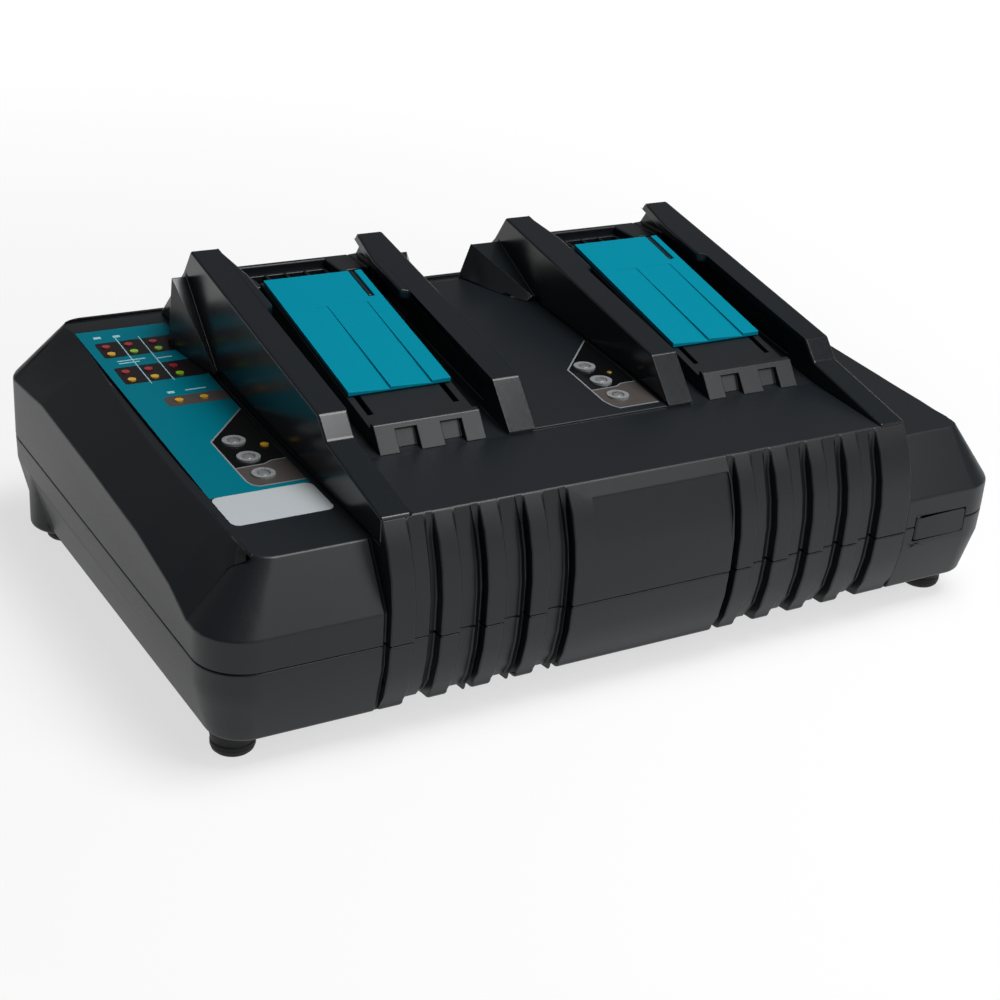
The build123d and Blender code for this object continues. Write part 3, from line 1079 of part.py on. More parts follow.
def grille(x):
    """Air outlet grille: a frame with three ribs, on the ledge of the shelf's opening."""
    mid_y = sum(GRILLE_Y) / 2
    depth = GRILLE_Y[1] - GRILLE_Y[0] - 2 * TRIM_GAP
    width = 2 * (GRILLE_X - TRIM_GAP)
    with BuildPart(mode=Mode.PRIVATE) as plate:
        with Locations((x, mid_y, GRILLE_Z)):
            Box(width, depth, GRILLE_T, align=STAND)
            with GridLocations(GRILLE_PITCH, 0, 4, 1):
                Box(GRILLE_PITCH - GRILLE_RIB, depth - 2 * GRILLE_RIM, 20.0, mode=Mode.SUBTRACT)
    return plate.part


def duct(x):
    """Square sleeve between the fan and the collar of the outlet."""
    mid_y = sum(DUCT_Y) / 2
    depth = DUCT_Y[1] - DUCT_Y[0]
    with BuildPart(mode=Mode.PRIVATE) as sleeve:
        with Locations((x, mid_y, FAN_Z + FAN_H)):
            Box(2 * DUCT_X, depth, COLLAR_Z - FAN_Z - FAN_H, align=STAND)
            Box(2 * DUCT_X - 2 * DUCT_T, depth - 2 * DUCT_T, 60.0, mode=Mode.SUBTRACT)
    return sleeve.part


def fan_frame(x):
    """Square fan housing with a round throat, a motor hub on four struts and corner holes."""
    with BuildPart(mode=Mode.PRIVATE) as frame:
        with Locations((x, FAN_Y, FAN_Z)):
            Box(FAN_W, FAN_W, FAN_H, align=STAND)
        with Locations((x, FAN_Y, FAN_Z + FAN_H / 2)):
            Cylinder(FAN_THROAT_R, FAN_H + 2.0, mode=Mode.SUBTRACT)
            with GridLocations(FAN_HOLE_SPAN, FAN_HOLE_SPAN, 2, 2):
                Cylinder(FAN_HOLE_R, FAN_H + 2.0, mode=Mode.SUBTRACT)
        with Locations((x, FAN_Y, FAN_Z)):
            Cylinder(FAN_HUB_R, FAN_STRUT_T, align=STAND)
            with PolarLocations(0.0, 4, 45.0):
                Box(2 * FAN_THROAT_R + 1.0, 2.0, FAN_STRUT_T, align=STAND)
            Cylinder(FAN_PIN_R, FAN_STRUT_T + FAN_ROTOR_H - 1.7, align=STAND)
    return frame.part


def fan_rotor(x):
    """Bladed rotor that turns on the fan frame's pin."""
    rotor_z = FAN_Z + FAN_STRUT_T + FAN_ROTOR_GAP
    with BuildPart(mode=Mode.PRIVATE) as wheel:
        with Locations((x, FAN_Y, rotor_z)):
            Cylinder(FAN_HUB_R, FAN_ROTOR_H, align=STAND)
        blade_len = FAN_ROTOR_R - FAN_HUB_R + 1.0
        for k in range(FAN_BLADES):
            turn = 360.0 * k / FAN_BLADES
            with Locations(Location((x, FAN_Y, rotor_z + FAN_ROTOR_H / 2), (0, 0, turn))):
                with Locations(Location((FAN_HUB_R - 1.0 + blade_len / 2, 0, 0), (FAN_PITCH_ANGLE, 0, 0))):
                    Box(blade_len, FAN_CHORD, FAN_BLADE_T)
        with Locations((x, FAN_Y, rotor_z)):
            Cylinder(FAN_PIN_R + FAN_PIN_GAP, 2 * FAN_ROTOR_H - 4.0, mode=Mode.SUBTRACT)
    return wheel.part


with BuildPart() as terminal_tower_left:
    add(tower(BAY_X["left"]))
terminal_tower_left.part.label = "terminal_tower_left"
export_step(terminal_tower_left.part, "parts/terminal_tower_left.step")

with BuildPart() as terminal_tower_right:
    add(tower(BAY_X["right"]))
terminal_tower_right.part.label = "terminal_tower_right"
export_step(terminal_tower_right.part, "parts/terminal_tower_right.step")

with BuildPart() as shutter_left:
    add(shutter(BAY_X["left"]))
shutter_left.part.label = "shutter_left"
export_step(shutter_left.part, "parts/shutter_left.step")

with BuildPart() as shutter_right:
    add(shutter(BAY_X["right"]))
shutter_right.part.label = "shutter_right"
export_step(shutter_right.part, "parts/shutter_right.step")

with BuildPart() as shutter_spring_left:
    add(spring(BAY_X["left"]))
shutter_spring_left.part.label = "shutter_spring_left"
export_step(shutter_spring_left.part, "parts/shutter_spring_left.step")

with BuildPart() as shutter_spring_right:
    add(spring(BAY_X["right"]))
shutter_spring_right.part.label = "shutter_spring_right"
export_step(shutter_spring_right.part, "parts/shutter_spring_right.step")

with BuildPart() as terminal_block_left:
    add(terminal_block(BAY_X["left"]))
terminal_block_left.part.label = "terminal_block_left"
export_step(terminal_block_left.part, "parts/terminal_block_left.step")

with BuildPart() as terminal_block_right:
    add(terminal_block(BAY_X["right"]))
terminal_block_right.part.label = "terminal_block_right"
export_step(terminal_block_right.part, "parts/terminal_block_right.step")

with BuildPart() as blades_left:
    add(blade(BAY_X["left"] - BLADE_X))
    add(blade(BAY_X["left"] + BLADE_X))
blades_left.part.label = "blades_left"
export_step(blades_left.part, "parts/blades_left.step")

with BuildPart() as blades_right:
    add(blade(BAY_X["right"] - BLADE_X))
    add(blade(BAY_X["right"] + BLADE_X))
blades_right.part.label = "blades_right"
export_step(blades_right.part, "parts/blades_right.step")

with BuildPart() as signal_socket_left:
    add(signal_socket(BAY_X["left"]))
signal_socket_left.part.label = "signal_socket_left"
export_step(signal_socket_left.part, "parts/signal_socket_left.step")

with BuildPart() as signal_socket_right:
    add(signal_socket(BAY_X["right"]))
signal_socket_right.part.label = "signal_socket_right"
export_step(signal_socket_right.part, "parts/signal_socket_right.step")

with BuildPart() as outlet_grille_left:
    add(grille(BAY_X["left"]))
outlet_grille_left.part.label = "outlet_grille_left"
export_step(outlet_grille_left.part, "parts/outlet_grille_left.step")

with BuildPart() as outlet_grille_right:
    add(grille(BAY_X["right"]))
outlet_grille_right.part.label = "outlet_grille_right"
export_step(outlet_grille_right.part, "parts/outlet_grille_right.step")

with BuildPart() as air_duct_left:
    add(duct(BAY_X["left"]))
air_duct_left.part.label = "air_duct_left"
export_step(air_duct_left.part, "parts/air_duct_left.step")

with BuildPart() as air_duct_right:
    add(duct(BAY_X["right"]))
air_duct_right.part.label = "air_duct_right"
export_step(air_duct_right.part, "parts/air_duct_right.step")

with BuildPart() as fan_frame_left:
    add(fan_frame(BAY_X["left"]))
fan_frame_left.part.label = "fan_frame_left"
export_step(fan_frame_left.part, "parts/fan_frame_left.step")

with BuildPart() as fan_frame_right:
    add(fan_frame(BAY_X["right"]))
fan_frame_right.part.label = "fan_frame_right"
export_step(fan_frame_right.part, "parts/fan_frame_right.step")

with BuildPart() as fan_rotor_left:
    add(fan_rotor(BAY_X["left"]))
fan_rotor_left.part.label = "fan_rotor_left"
export_step(fan_rotor_left.part, "parts/fan_rotor_left.step")

with BuildPart() as fan_rotor_right:
    add(fan_rotor(BAY_X["right"]))
fan_rotor_right.part.label = "fan_rotor_right"
export_step(fan_rotor_right.part, "parts/fan_rotor_right.step")

# ---------------------------------------------------------------- boards
with BuildPart() as main_board:
    with BuildSketch(Plane.XY.offset(BOARD_Z)):
        with Locations((sum(BOARD_X) / 2, sum(BOARD_Y) / 2)):
            Rectangle(BOARD_X[1] - BOARD_X[0], BOARD_Y[1] - BOARD_Y[0])
        with Locations(*BOARD_SCREWS):
            Circle(BOARD_SCREW_R, mode=Mode.SUBTRACT)
    extrude(amount=BOARD_T)
main_board.part.label = "main_board"
export_step(main_board.part, "parts/main_board.step")

with BuildPart() as board_screws:
    with Locations(*[(x, y, BOARD_Z + BOARD_T) for x, y in BOARD_SCREWS]):
        Cylinder(BOARD_SCREW_HEAD_R, BOARD_SCREW_HEAD_H, align=STAND)
        Cylinder(BOARD_SCREW_R, BOARD_T + BOARD_SCREW_BITE, align=HANG)
board_screws.part.label = "board_screws"
export_step(board_screws.part, "parts/board_screws.step")

with BuildPart() as display_board:
    board_pts = [(y, display_z(y)) for y in DISPLAY_Y]
    board_pts += [(y, z - BOARD_T) for y, z in board_pts[::-1]]
    extrude(side_face(DISPLAY_X[0], board_pts), amount=DISPLAY_X[1] - DISPLAY_X[0])
display_board.part.label = "display_board"
export_step(display_board.part, "parts/display_board.step")

# ---------------------------------------------------------------- USB port
with BuildPart() as usb_cover:
    cover_y = FRONT_Y + USB_COVER_T / 2
    plate_w = USB_X[1] - TRIM_GAP - USB_HINGE_X
    plate_h = USB_Z[1] - USB_Z[0] - 2 * TRIM_GAP
    with Locations((USB_HINGE_X, cover_y, USB_MID_Z)):
        Box(plate_w, USB_COVER_T, plate_h, align=(Align.MIN, Align.CENTER, Align.CENTER))
        Cylinder(USB_COVER_T / 2, plate_h)
        Cylinder(USB_HINGE_PIN_R, USB_Z[1] - USB_Z[0] + 2 * USB_HINGE_PIN_L)
    fillet(usb_cover.edges().filter_by(Axis.Y).group_by(Axis.X)[-1], radius=1.5)
usb_cover.part.label = "usb_cover"
export_step(usb_cover.part, "parts/usb_cover.step")

with BuildPart() as usb_socket:
    with Locations((USB_MID_X, USB_SOCKET_Y, USB_MID_Z)):
        Box(USB_SOCKET_W, USB_SOCKET_L, USB_SOCKET_H, align=(Align.CENTER, Align.MIN, Align.CENTER))
        Box(USB_SOCKET_W - 2 * USB_SHELL_T, USB_SOCKET_L - 2.0, USB_SOCKET_H - 2 * USB_SHELL_T,
            align=(Align.CENTER, Align.MIN, Align.CENTER), mode=Mode.SUBTRACT)
usb_socket.part.label = "usb_socket"
export_step(usb_socket.part, "parts/usb_socket.step")

with BuildPart() as usb_tongue:
    with Locations((USB_MID_X, USB_SOCKET_Y + USB_SOCKET_L - 2.0, USB_MID_Z + 0.9)):
        Box(USB_SOCKET_W - 2.4, USB_SOCKET_L - 4.0, 1.8, align=(Align.CENTER, Align.MAX, Align.CENTER))
usb_tongue.part.label = "usb_tongue"
export_step(usb_tongue.part, "parts/usb_tongue.step")

with BuildPart() as usb_board:
    with BuildSketch(Plane.XY.offset(USB_BOARD_Z)):
        with Locations((sum(USB_BOARD_X) / 2, sum(USB_BOARD_Y) / 2)):
            Rectangle(USB_BOARD_X[1] - USB_BOARD_X[0], USB_BOARD_Y[1] - USB_BOARD_Y[0])
    extrude(amount=BOARD_T)
usb_board.part.label = "usb_board"
export_step(usb_board.part, "parts/usb_board.step")


# ---------------------------------------------------------------- feet, screws and cord gland
def foot(side, column):
    """Tapered rubber foot with a ring near the ground and a spigot pushed into its column."""
    inset, y, _ = column
    top_z = base_z(y) - COLUMN_STAND
    with BuildPart(mode=Mode.PRIVATE) as pad:
        with BuildSketch(Plane.XZ):
            with BuildLine():
                Polyline((0, 0), (FOOT_LOW_R - 0.8, 0), (FOOT_LOW_R, 0.8), (FOOT_RING_R, 2.2),
                         (FOOT_RING_R, 3.8), (FOOT_LOW_R + 0.2, 4.4), (FOOT_R, top_z), (FOOT_SPIGOT_R, top_z),
                         (FOOT_SPIGOT_R, top_z + WALL + 0.6), (0, top_z + WALL + 0.6), close=True)
            make_face()
        revolve(axis=Axis.Z)
    return pad.part.moved(Location((side * (SIDE_X - inset), y, 0)))


with BuildPart() as foot_front_left:
    add(foot(-1, COLUMN_FRONT))
foot_front_left.part.label = "foot_front_left"
export_step(foot_front_left.part, "parts/foot_front_left.step")

with BuildPart() as foot_front_right:
    add(foot(1, COLUMN_FRONT))
foot_front_right.part.label = "foot_front_right"
export_step(foot_front_right.part, "parts/foot_front_right.step")

with BuildPart() as foot_rear_left:
    add(foot(-1, COLUMN_REAR))
foot_rear_left.part.label = "foot_rear_left"
export_step(foot_rear_left.part, "parts/foot_rear_left.step")

with BuildPart() as foot_rear_right:
    add(foot(1, COLUMN_REAR))
foot_rear_right.part.label = "foot_rear_right"
export_step(foot_rear_right.part, "parts/foot_rear_right.step")

with BuildPart() as housing_screws:
    with Locations(*SCREW_SEATS):
        Cylinder(SCREW_HEAD_R, SCREW_HEAD_H, align=HANG)
        Cylinder(SCREW_R, SCREW_L, align=STAND)
    with Locations(*[(x, y, seat_z - SCREW_HEAD_H) for x, y, seat_z in SCREW_SEATS]):
        Box(SCREW_DRIVE[0], SCREW_DRIVE[1], SCREW_DRIVE[2], mode=Mode.SUBTRACT)
        Box(SCREW_DRIVE[1], SCREW_DRIVE[0], SCREW_DRIVE[2], mode=Mode.SUBTRACT)
housing_screws.part.label = "housing_screws"
export_step(housing_screws.part, "parts/housing_screws.step")

with BuildPart() as rail_screws:
    for x, y, seat_z in rail_screw_seats:
        with Locations((x, y, seat_z)):
            Cylinder(RAIL_SCREW_HEAD_R, RAIL_SCREW_HEAD_H, align=HANG)
            Cylinder(RAIL_SCREW_R, RAIL_SCREW_L, align=STAND)
rail_screws.part.label = "rail_screws"
export_step(rail_screws.part, "parts/rail_screws.step")

with BuildPart() as fan_screws:
    for bay_x in BAY_X.values():
        with Locations((bay_x, FAN_Y, FAN_Z)):
            with GridLocations(FAN_HOLE_SPAN, FAN_HOLE_SPAN, 2, 2):
                Cylinder(FAN_SCREW_HEAD_R, FAN_SCREW_HEAD_H, align=HANG)
                Cylinder(FAN_SCREW_R, FAN_H + FAN_SCREW_BITE, align=STAND)
fan_screws.part.label = "fan_screws"
export_step(fan_screws.part, "parts/fan_screws.step")

with BuildPart() as cord_gland:
    with BuildSketch(Plane.YZ.offset(INLET_X)):
        with BuildLine():
            Polyline((GLAND_IN_Y, INLET_Z + CORD_BORE_R), (GLAND_OUT_Y, INLET_Z + CORD_BORE_R),
                     (GLAND_OUT_Y, INLET_Z + GLAND_FLANGE_R - 1.0),
                     (GLAND_OUT_Y - 1.0, INLET_Z + GLAND_FLANGE_R),
                     (INLET_SEAT_Y, INLET_Z + GLAND_FLANGE_R), (INLET_SEAT_Y, INLET_Z + INLET_R),
                     (GLAND_CLIP_Y, INLET_Z + INLET_R), (GLAND_CLIP_Y, INLET_Z + GLAND_FLANGE_R - 0.8),
                     (GLAND_IN_Y, INLET_Z + INLET_R), close=True)
        make_face()
    revolve(axis=Axis((INLET_X, 0, INLET_Z), (0, 1, 0)))
cord_gland.part.label = "cord_gland"
export_step(cord_gland.part, "parts/cord_gland.step")

# ---------------------------------------------------------------- parts on the main board
BOARD_TOP = BOARD_Z + BOARD_T

with BuildPart() as transformer_core:
    with Locations((CORE_XY[0], CORE_XY[1], BOARD_TOP + CORE_LIFT)):
        Box(CORE_W, CORE_D, CORE_H, align=STAND)
    with Locations((CORE_XY[0], CORE_XY[1], BOARD_TOP + CORE_LIFT + CORE_H / 2)):
        with GridLocations(CORE_WINDOW_PITCH, 0, 2, 1):
            Box(CORE_WINDOW_W, CORE_D, CORE_H - 2 * CORE_YOKE, mode=Mode.SUBTRACT)
transformer_core.part.label = "transformer_core"
export_step(transformer_core.part, "parts/transformer_core.step")

with BuildPart() as transformer_winding:
    leg_w = CORE_WINDOW_PITCH - CORE_WINDOW_W
    with Locations((CORE_XY[0], CORE_XY[1], BOARD_TOP + CORE_LIFT + CORE_H / 2)):
        Box(leg_w + 2 * CORE_WINDOW_W - 1.0, CORE_D + 2 * CORE_WINDOW_W - 1.0, CORE_H - 2 * CORE_YOKE)
        Box(leg_w, CORE_D, CORE_H, mode=Mode.SUBTRACT)
    corner_groups = transformer_winding.edges().filter_by(Axis.Z).group_by(Axis.X)
    fillet(corner_groups[0] + corner_groups[-1], radius=3.0)
    with Locations((CORE_XY[0], CORE_XY[1], BOARD_TOP)):
        with GridLocations(leg_w, CORE_D + 2 * CORE_WINDOW_W - 5.0, 2, 2):
            Cylinder(1.2, CORE_LIFT + CORE_YOKE, align=STAND)
transformer_winding.part.label = "transformer_winding"
export_step(transformer_winding.part, "parts/transformer_winding.step")

with BuildPart() as bulk_capacitors:
    with Locations(*[(x, y, BOARD_TOP) for x, y in BULK_XY]):
        Cylinder(BULK_R, BULK_H, align=STAND)
    fillet(bulk_capacitors.edges().group_by(Axis.Z)[-1], radius=1.0)
bulk_capacitors.part.label = "bulk_capacitors"
export_step(bulk_capacitors.part, "parts/bulk_capacitors.step")

with BuildPart() as heat_sinks:
    with Locations(*[(x, y, BOARD_TOP) for x, y in SINK_XY]):
        Box(SINK_BASE_T, SINK_L, SINK_H, align=STAND)
    with Locations(*[(x + SINK_BASE_T / 2 + SINK_FIN_L / 2, y, BOARD_TOP) for x, y in SINK_XY]):
        with GridLocations(0, SINK_PITCH, 1, SINK_FINS):
            Box(SINK_FIN_L, SINK_FIN_T, SINK_H, align=STAND)
heat_sinks.part.label = "heat_sinks"
export_step(heat_sinks.part, "parts/heat_sinks.step")

with BuildPart() as power_transistors:
    tab_x = SINK_BASE_T / 2 + TAB_T / 2
    with Locations(*[(x - tab_x, y, BOARD_TOP + TAB_LIFT) for x, y in SINK_XY]):
        with GridLocations(0, TAB_PITCH, 1, 3):
            Box(TAB_T, TAB_W, TAB_H, align=STAND)
    with Locations(*[(x - tab_x, y, BOARD_TOP) for x, y in SINK_XY]):
        with GridLocations(0, TAB_PITCH, 1, 3):
            Box(TAB_LEGS[0], TAB_LEGS[1], TAB_LIFT, align=STAND)
power_transistors.part.label = "power_transistors"
export_step(power_transistors.part, "parts/power_transistors.step")

with BuildPart() as toroid_chokes:
    with Locations(*[(x, y, BOARD_TOP + CHOKE_TUBE_R) for x, y in CHOKE_XY]):
        Torus(CHOKE_R, CHOKE_TUBE_R)
toroid_chokes.part.label = "toroid_chokes"
export_step(toroid_chokes.part, "parts/toroid_chokes.step")

with BuildPart() as relays:
    with Locations(*[(x, y, BOARD_TOP) for x, y in RELAY_XY]):
        Box(*RELAY_SIZE, align=STAND)
relays.part.label = "relays"
export_step(relays.part, "parts/relays.step")
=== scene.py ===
import math

import bmesh
import bpy
import numpy as np
from bpy.props import FloatProperty, FloatVectorProperty, PointerProperty
from mathutils import Matrix, Vector
from mathutils.bvhtree import BVHTree


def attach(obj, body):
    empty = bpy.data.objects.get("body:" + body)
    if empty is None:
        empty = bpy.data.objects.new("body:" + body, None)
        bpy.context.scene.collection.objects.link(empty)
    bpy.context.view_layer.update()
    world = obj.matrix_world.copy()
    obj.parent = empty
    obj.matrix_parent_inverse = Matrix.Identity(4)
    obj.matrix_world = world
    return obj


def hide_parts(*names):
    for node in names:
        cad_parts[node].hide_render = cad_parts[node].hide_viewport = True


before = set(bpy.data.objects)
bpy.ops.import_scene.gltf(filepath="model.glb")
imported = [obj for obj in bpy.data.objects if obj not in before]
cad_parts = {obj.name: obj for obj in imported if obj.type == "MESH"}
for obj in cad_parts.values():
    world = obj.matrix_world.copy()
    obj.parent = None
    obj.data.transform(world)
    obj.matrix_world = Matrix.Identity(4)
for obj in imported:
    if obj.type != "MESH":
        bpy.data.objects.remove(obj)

bl_info = {
    "name": "Twin-bay battery charger looks",
    "version": (1, 0, 0),
    "blender": (4, 5, 0),
    "location": "View3D > Sidebar > Charger",
    "description": "Surface pieces, materials and studio for the packed twin-bay battery charger",
    "category": "Object",
}

MM = 0.001
SIDES = ("left", "right")

# Rounding and shading of the CAD nodes' copies. Lengths are in metres.
MERGE_DISTANCE = 0.000004  # corners of loose triangles that are nearer than this are one corner
LEVEL_ANGLE = math.radians(0.4)  # neighbours that turn by less than this are joined to one face
SLIGHT_ANGLE = math.radians(0.5)  # an edge that turns by less than this is never sharp
FOLD_ANGLE = math.radians(24.0)  # an edge that turns by more than this is always sharp
FLAT_RADIUS = 0.15  # flatter curves than this are shaded as flat faces
SHORTEST_EDGE = 0.000001  # least length that a face's area is divided by
STRAIGHT_SHARE = 0.15  # an edge that leaves the line by less than this share of its length goes straight on
ROOM_SHARE = 0.45  # share of the room beside an edge that its rounding may take up

# Noise of the materials.
NOISE_LOW = 0.3  # most of a noise's values lie between these two
NOISE_HIGH = 0.7
NO_RELIEF = (0.0006, 0.0)  # size and depth where only the tone varies, in metres

# Printed areas, as seen from above, in millimetres. Closed outlines run counter-clockwise.
CHART_COLUMNS = [(-143.0, -133.6), (-133.0, -124.4), (-123.8, -109.5)]
CHART_ROWS = [(63.6, 77.0), (40.2, 54.6)]
CHART_RULES = [[(-133.3, 38.6), (-133.3, 80.0)], [(-124.1, 38.6), (-124.1, 79.0)]]
CELL_CORNER = 1.0
RULE_WIDTH = 0.4
HINT_STRIP = ((-134.0, 17.6), (-109.5, 25.8))
HINT_CORNER = 2.0
SMALL_MARKS = [
    ((-141.6, 80.9), (-138.6, 82.7)), ((-133.9, 80.4), (-130.9, 82.2)), ((-139.5, 57.6), (-131.0, 58.3)),
    ((-139.5, 59.6), (-128.0, 60.3)), ((-124.0, 58.3), (-117.5, 59.0)), ((-130.6, 28.3), (-127.8, 30.1)),
    ((-123.5, 29.0), (-115.0, 29.7)),
]
MARK_CORNER = 0.3
WINDOW_LEFT_LINE = [(-109.8, 8.2), (-130.3, -13.9), (-130.3, -46.4), (-129.4, -49.6), (-127.2, -51.4),
                    (-109.8, -51.5)]
WINDOW_LEFT_EDGE = [(-129.9, -36.2), (-119.0, -36.0), (-115.5, -34.2), (-109.8, -34.2)]
WINDOW_LEFT_BAND = [(-129.9, -46.4), (-129.0, -49.2), (-127.0, -51.0), (-109.8, -51.0),
                    *WINDOW_LEFT_EDGE[::-1]]
WINDOW_CENTRE_LINE = [(33.5, -5.2), (12.4, -27.0), (12.4, -53.0), (13.6, -56.8), (15.8, -59.6), (33.5, -59.6)]
WINDOW_CENTRE_EDGE = [(12.8, -44.4), (24.0, -44.2), (27.0, -42.6), (33.5, -42.6)]
WINDOW_CENTRE_BAND = [(12.8, -53.0), (14.0, -56.6), (16.0, -59.2), (33.5, -59.2), *WINDOW_CENTRE_EDGE[::-1]]
EDGE_SHARE = 0.8  # width of a band's edge line against that of a window's outline
RULE_LIFT = 1.4  # height of the rules, in layers of print
LINE_LIFT = 2.0  # height of the windows' lines, in layers of print
LINE_STEP = 4.0  # longest step of a line on a curved surface
MITRE_LIMIT = 0.4  # least cosine that a line's half width is divided by at a bend
PRINT_SINK = 0.00006  # metres that a printed area reaches below the surface it lies on

# Indicator rings and the small lamp: places from above and (radius, height) profiles, in millimetres.
RINGS_LEFT = [(-122.4, -16.0), (-122.4, -29.7), (-122.4, -43.3)]
RINGS_CENTRE = [(20.4, -26.4), (20.4, -38.6), (20.4, -50.8)]
RING_PROFILE = [(2.6, -4.0), (2.6, 0.0), (2.35, 0.0), (2.15, -0.4), (1.95, 0.0), (1.6, 0.2), (0.9, 0.3),
                (0.2, 0.32)]
RING_STEPS = 40
RING_SHARP = 50.0  # degrees
LAMP_PLACE = (27.6, -33.4)
LAMP_PROFILE = [(1.1, -0.2), (1.1, 0.1), (0.8, 0.4), (0.3, 0.5)]
LAMP_STEPS = 24
LAMP_SHARP = 60.0  # degrees

# Studio, in metres. Each light has its name, its power's setting, its place, and its width and height.
LIGHTS = [
    ("Overhead_softbox", "overhead_power", (0.3, -0.3, 1.3), (0.8, 0.8)),
    ("Front_softbox", "front_power", (0.72, -1.0, 0.95), (0.5, 0.5)),
    ("Low_panel", "low_power", (0.4, -1.3, 0.25), (1.3, 0.45)),
    ("Front_strip", "strip_power", (0.12, -1.1, 0.95), (0.12, 0.5)),
    ("Rear_softbox", "rear_power", (0.3, 1.15, 1.15), (1.2, 0.5)),
]
LIGHT_TARGET = (0.0, 0.0, 0.06)
FLOOR_HALF = 6.0
FLOOR_REACH = (0.3, 1.3)  # distances from the floor's middle between which its glow rises
FLOOR_GLOW = (0.66, 0.98)  # strength of the glow at these distances, as the camera sees it
FLOOR_LIGHT = 0.36  # strength of the glow that lights the charger
FLOOR_MIRRORED = 0.5  # how near a reflection of the floor comes to what the camera sees
SURROUND_SEEN = 1.0
SURROUND_MIRRORED = 0.02
WHITE = (1.0, 1.0, 1.0, 1.0)
SENSOR_WIDTH = 36.0  # millimetres


def hex_colour(text):
    """Linear red, green, blue and alpha of an sRGB colour written as six hexadecimal digits."""
    channels = [int(text[k:k + 2], 16) / 255.0 for k in (0, 2, 4)]
    return [c / 12.92 if c <= 0.04045 else ((c + 0.055) / 1.055) ** 2.4 for c in channels] + [1.0]


def length_setting(name, description, default, low=0.0):
    """Setting for a length, in metres."""
    return FloatProperty(name=name, description=description, default=default, min=low, unit="LENGTH")


def power_setting(name, description, default):
    """Setting for the power of a light, in watts."""
    return FloatProperty(name=name, description=description, default=default, min=0.0, subtype="POWER")


def angle_setting(name, description, degrees):
    """Setting for an angle, whose default is given in degrees."""
    return FloatProperty(name=name, description=description, default=math.radians(degrees), subtype="ANGLE")


def colour_setting(name, description, text):
    """Colour setting whose default is an sRGB hexadecimal colour."""
    return FloatVectorProperty(name=name, description=description, default=hex_colour(text), size=4,
                               min=0.0, max=1.0, subtype="COLOR")


class ChargerLooks(bpy.types.PropertyGroup):
    """Sizes and colours of the charger's surface pieces."""

    shell_edge: length_setting("Shell edge", "Rounding of the housing's moulded edges", 0.0008)
    rail_edge: length_setting("Rail edge", "Rounding of the battery rails' edges", 0.0009)
    trim_edge: length_setting("Trim edge", "Rounding of shutters, towers, grilles and the USB cover", 0.0004)
    print_height: length_setting("Print height", "How far printed areas stand above their film", 0.00005)
    line_width: length_setting("Line width", "Width of the silver outline of the status windows", 0.0006)
    grain_size: length_setting("Grain size", "Size of the texture on the black plastic", 0.0007, low=0.00001)
    grain_depth: length_setting("Grain depth", "Depth of the texture on the black plastic", 0.00002)
    shell_colour: colour_setting("Shell colour", "Colour of the housing's black plastic", "10151A")
    shutter_colour: colour_setting("Shutter colour", "Colour of the sliding shutters", "008299")
    film_colour: colour_setting("Film colour", "Ground colour of the printed legend", "006B7C")


class ChargerStudio(bpy.types.PropertyGroup):
    """Strengths of the studio's lights, and where the camera stands and looks."""

    overhead_power: power_setting("Overhead light", "Power of the softbox above the charger", 16.0)
    front_power: power_setting("Front light", "Power of the softbox at the front right", 2.6)
    low_power: power_setting("Low light", "Power of the low, wide panel in front", 1.2)
    strip_power: power_setting("Strip light", "Power of the narrow, upright light in front", 1.0)
    rear_power: power_setting("Rear light", "Power of the softbox behind the charger", 0.02)
    surround: FloatProperty(name="Surround", description="Brightness of the light from all around",
                            default=0.13, min=0.0)
    azimuth: angle_setting("Azimuth", "Direction of the camera: 0 is in front, less is further left", -31.6)
    elevation: angle_setting("Elevation", "How far the camera looks down", 25.4)
    roll: angle_setting("Roll", "Tilt of the camera about its own line of sight", 4.1)
    place: FloatVectorProperty(name="Place", description="Place of the camera",
                               default=(-0.3598, -0.5886, 0.3518), subtype="TRANSLATION", unit="LENGTH")
    lens: FloatProperty(name="Lens", description="Focal length of the camera, in millimetres", default=66.61,
                        min=1.0)


def add_node(tree, kind, inputs=None, **settings):
    """Add a shader node with its settings; an input is either a constant or another node's output."""
    node = tree.nodes.new(kind)
    for key, value in settings.items():
        setattr(node, key, value)
    for key, value in (inputs or {}).items():
        if isinstance(value, bpy.types.NodeSocket):
            tree.links.new(value, node.inputs[key])
        else:
            node.inputs[key].default_value = value
    return node


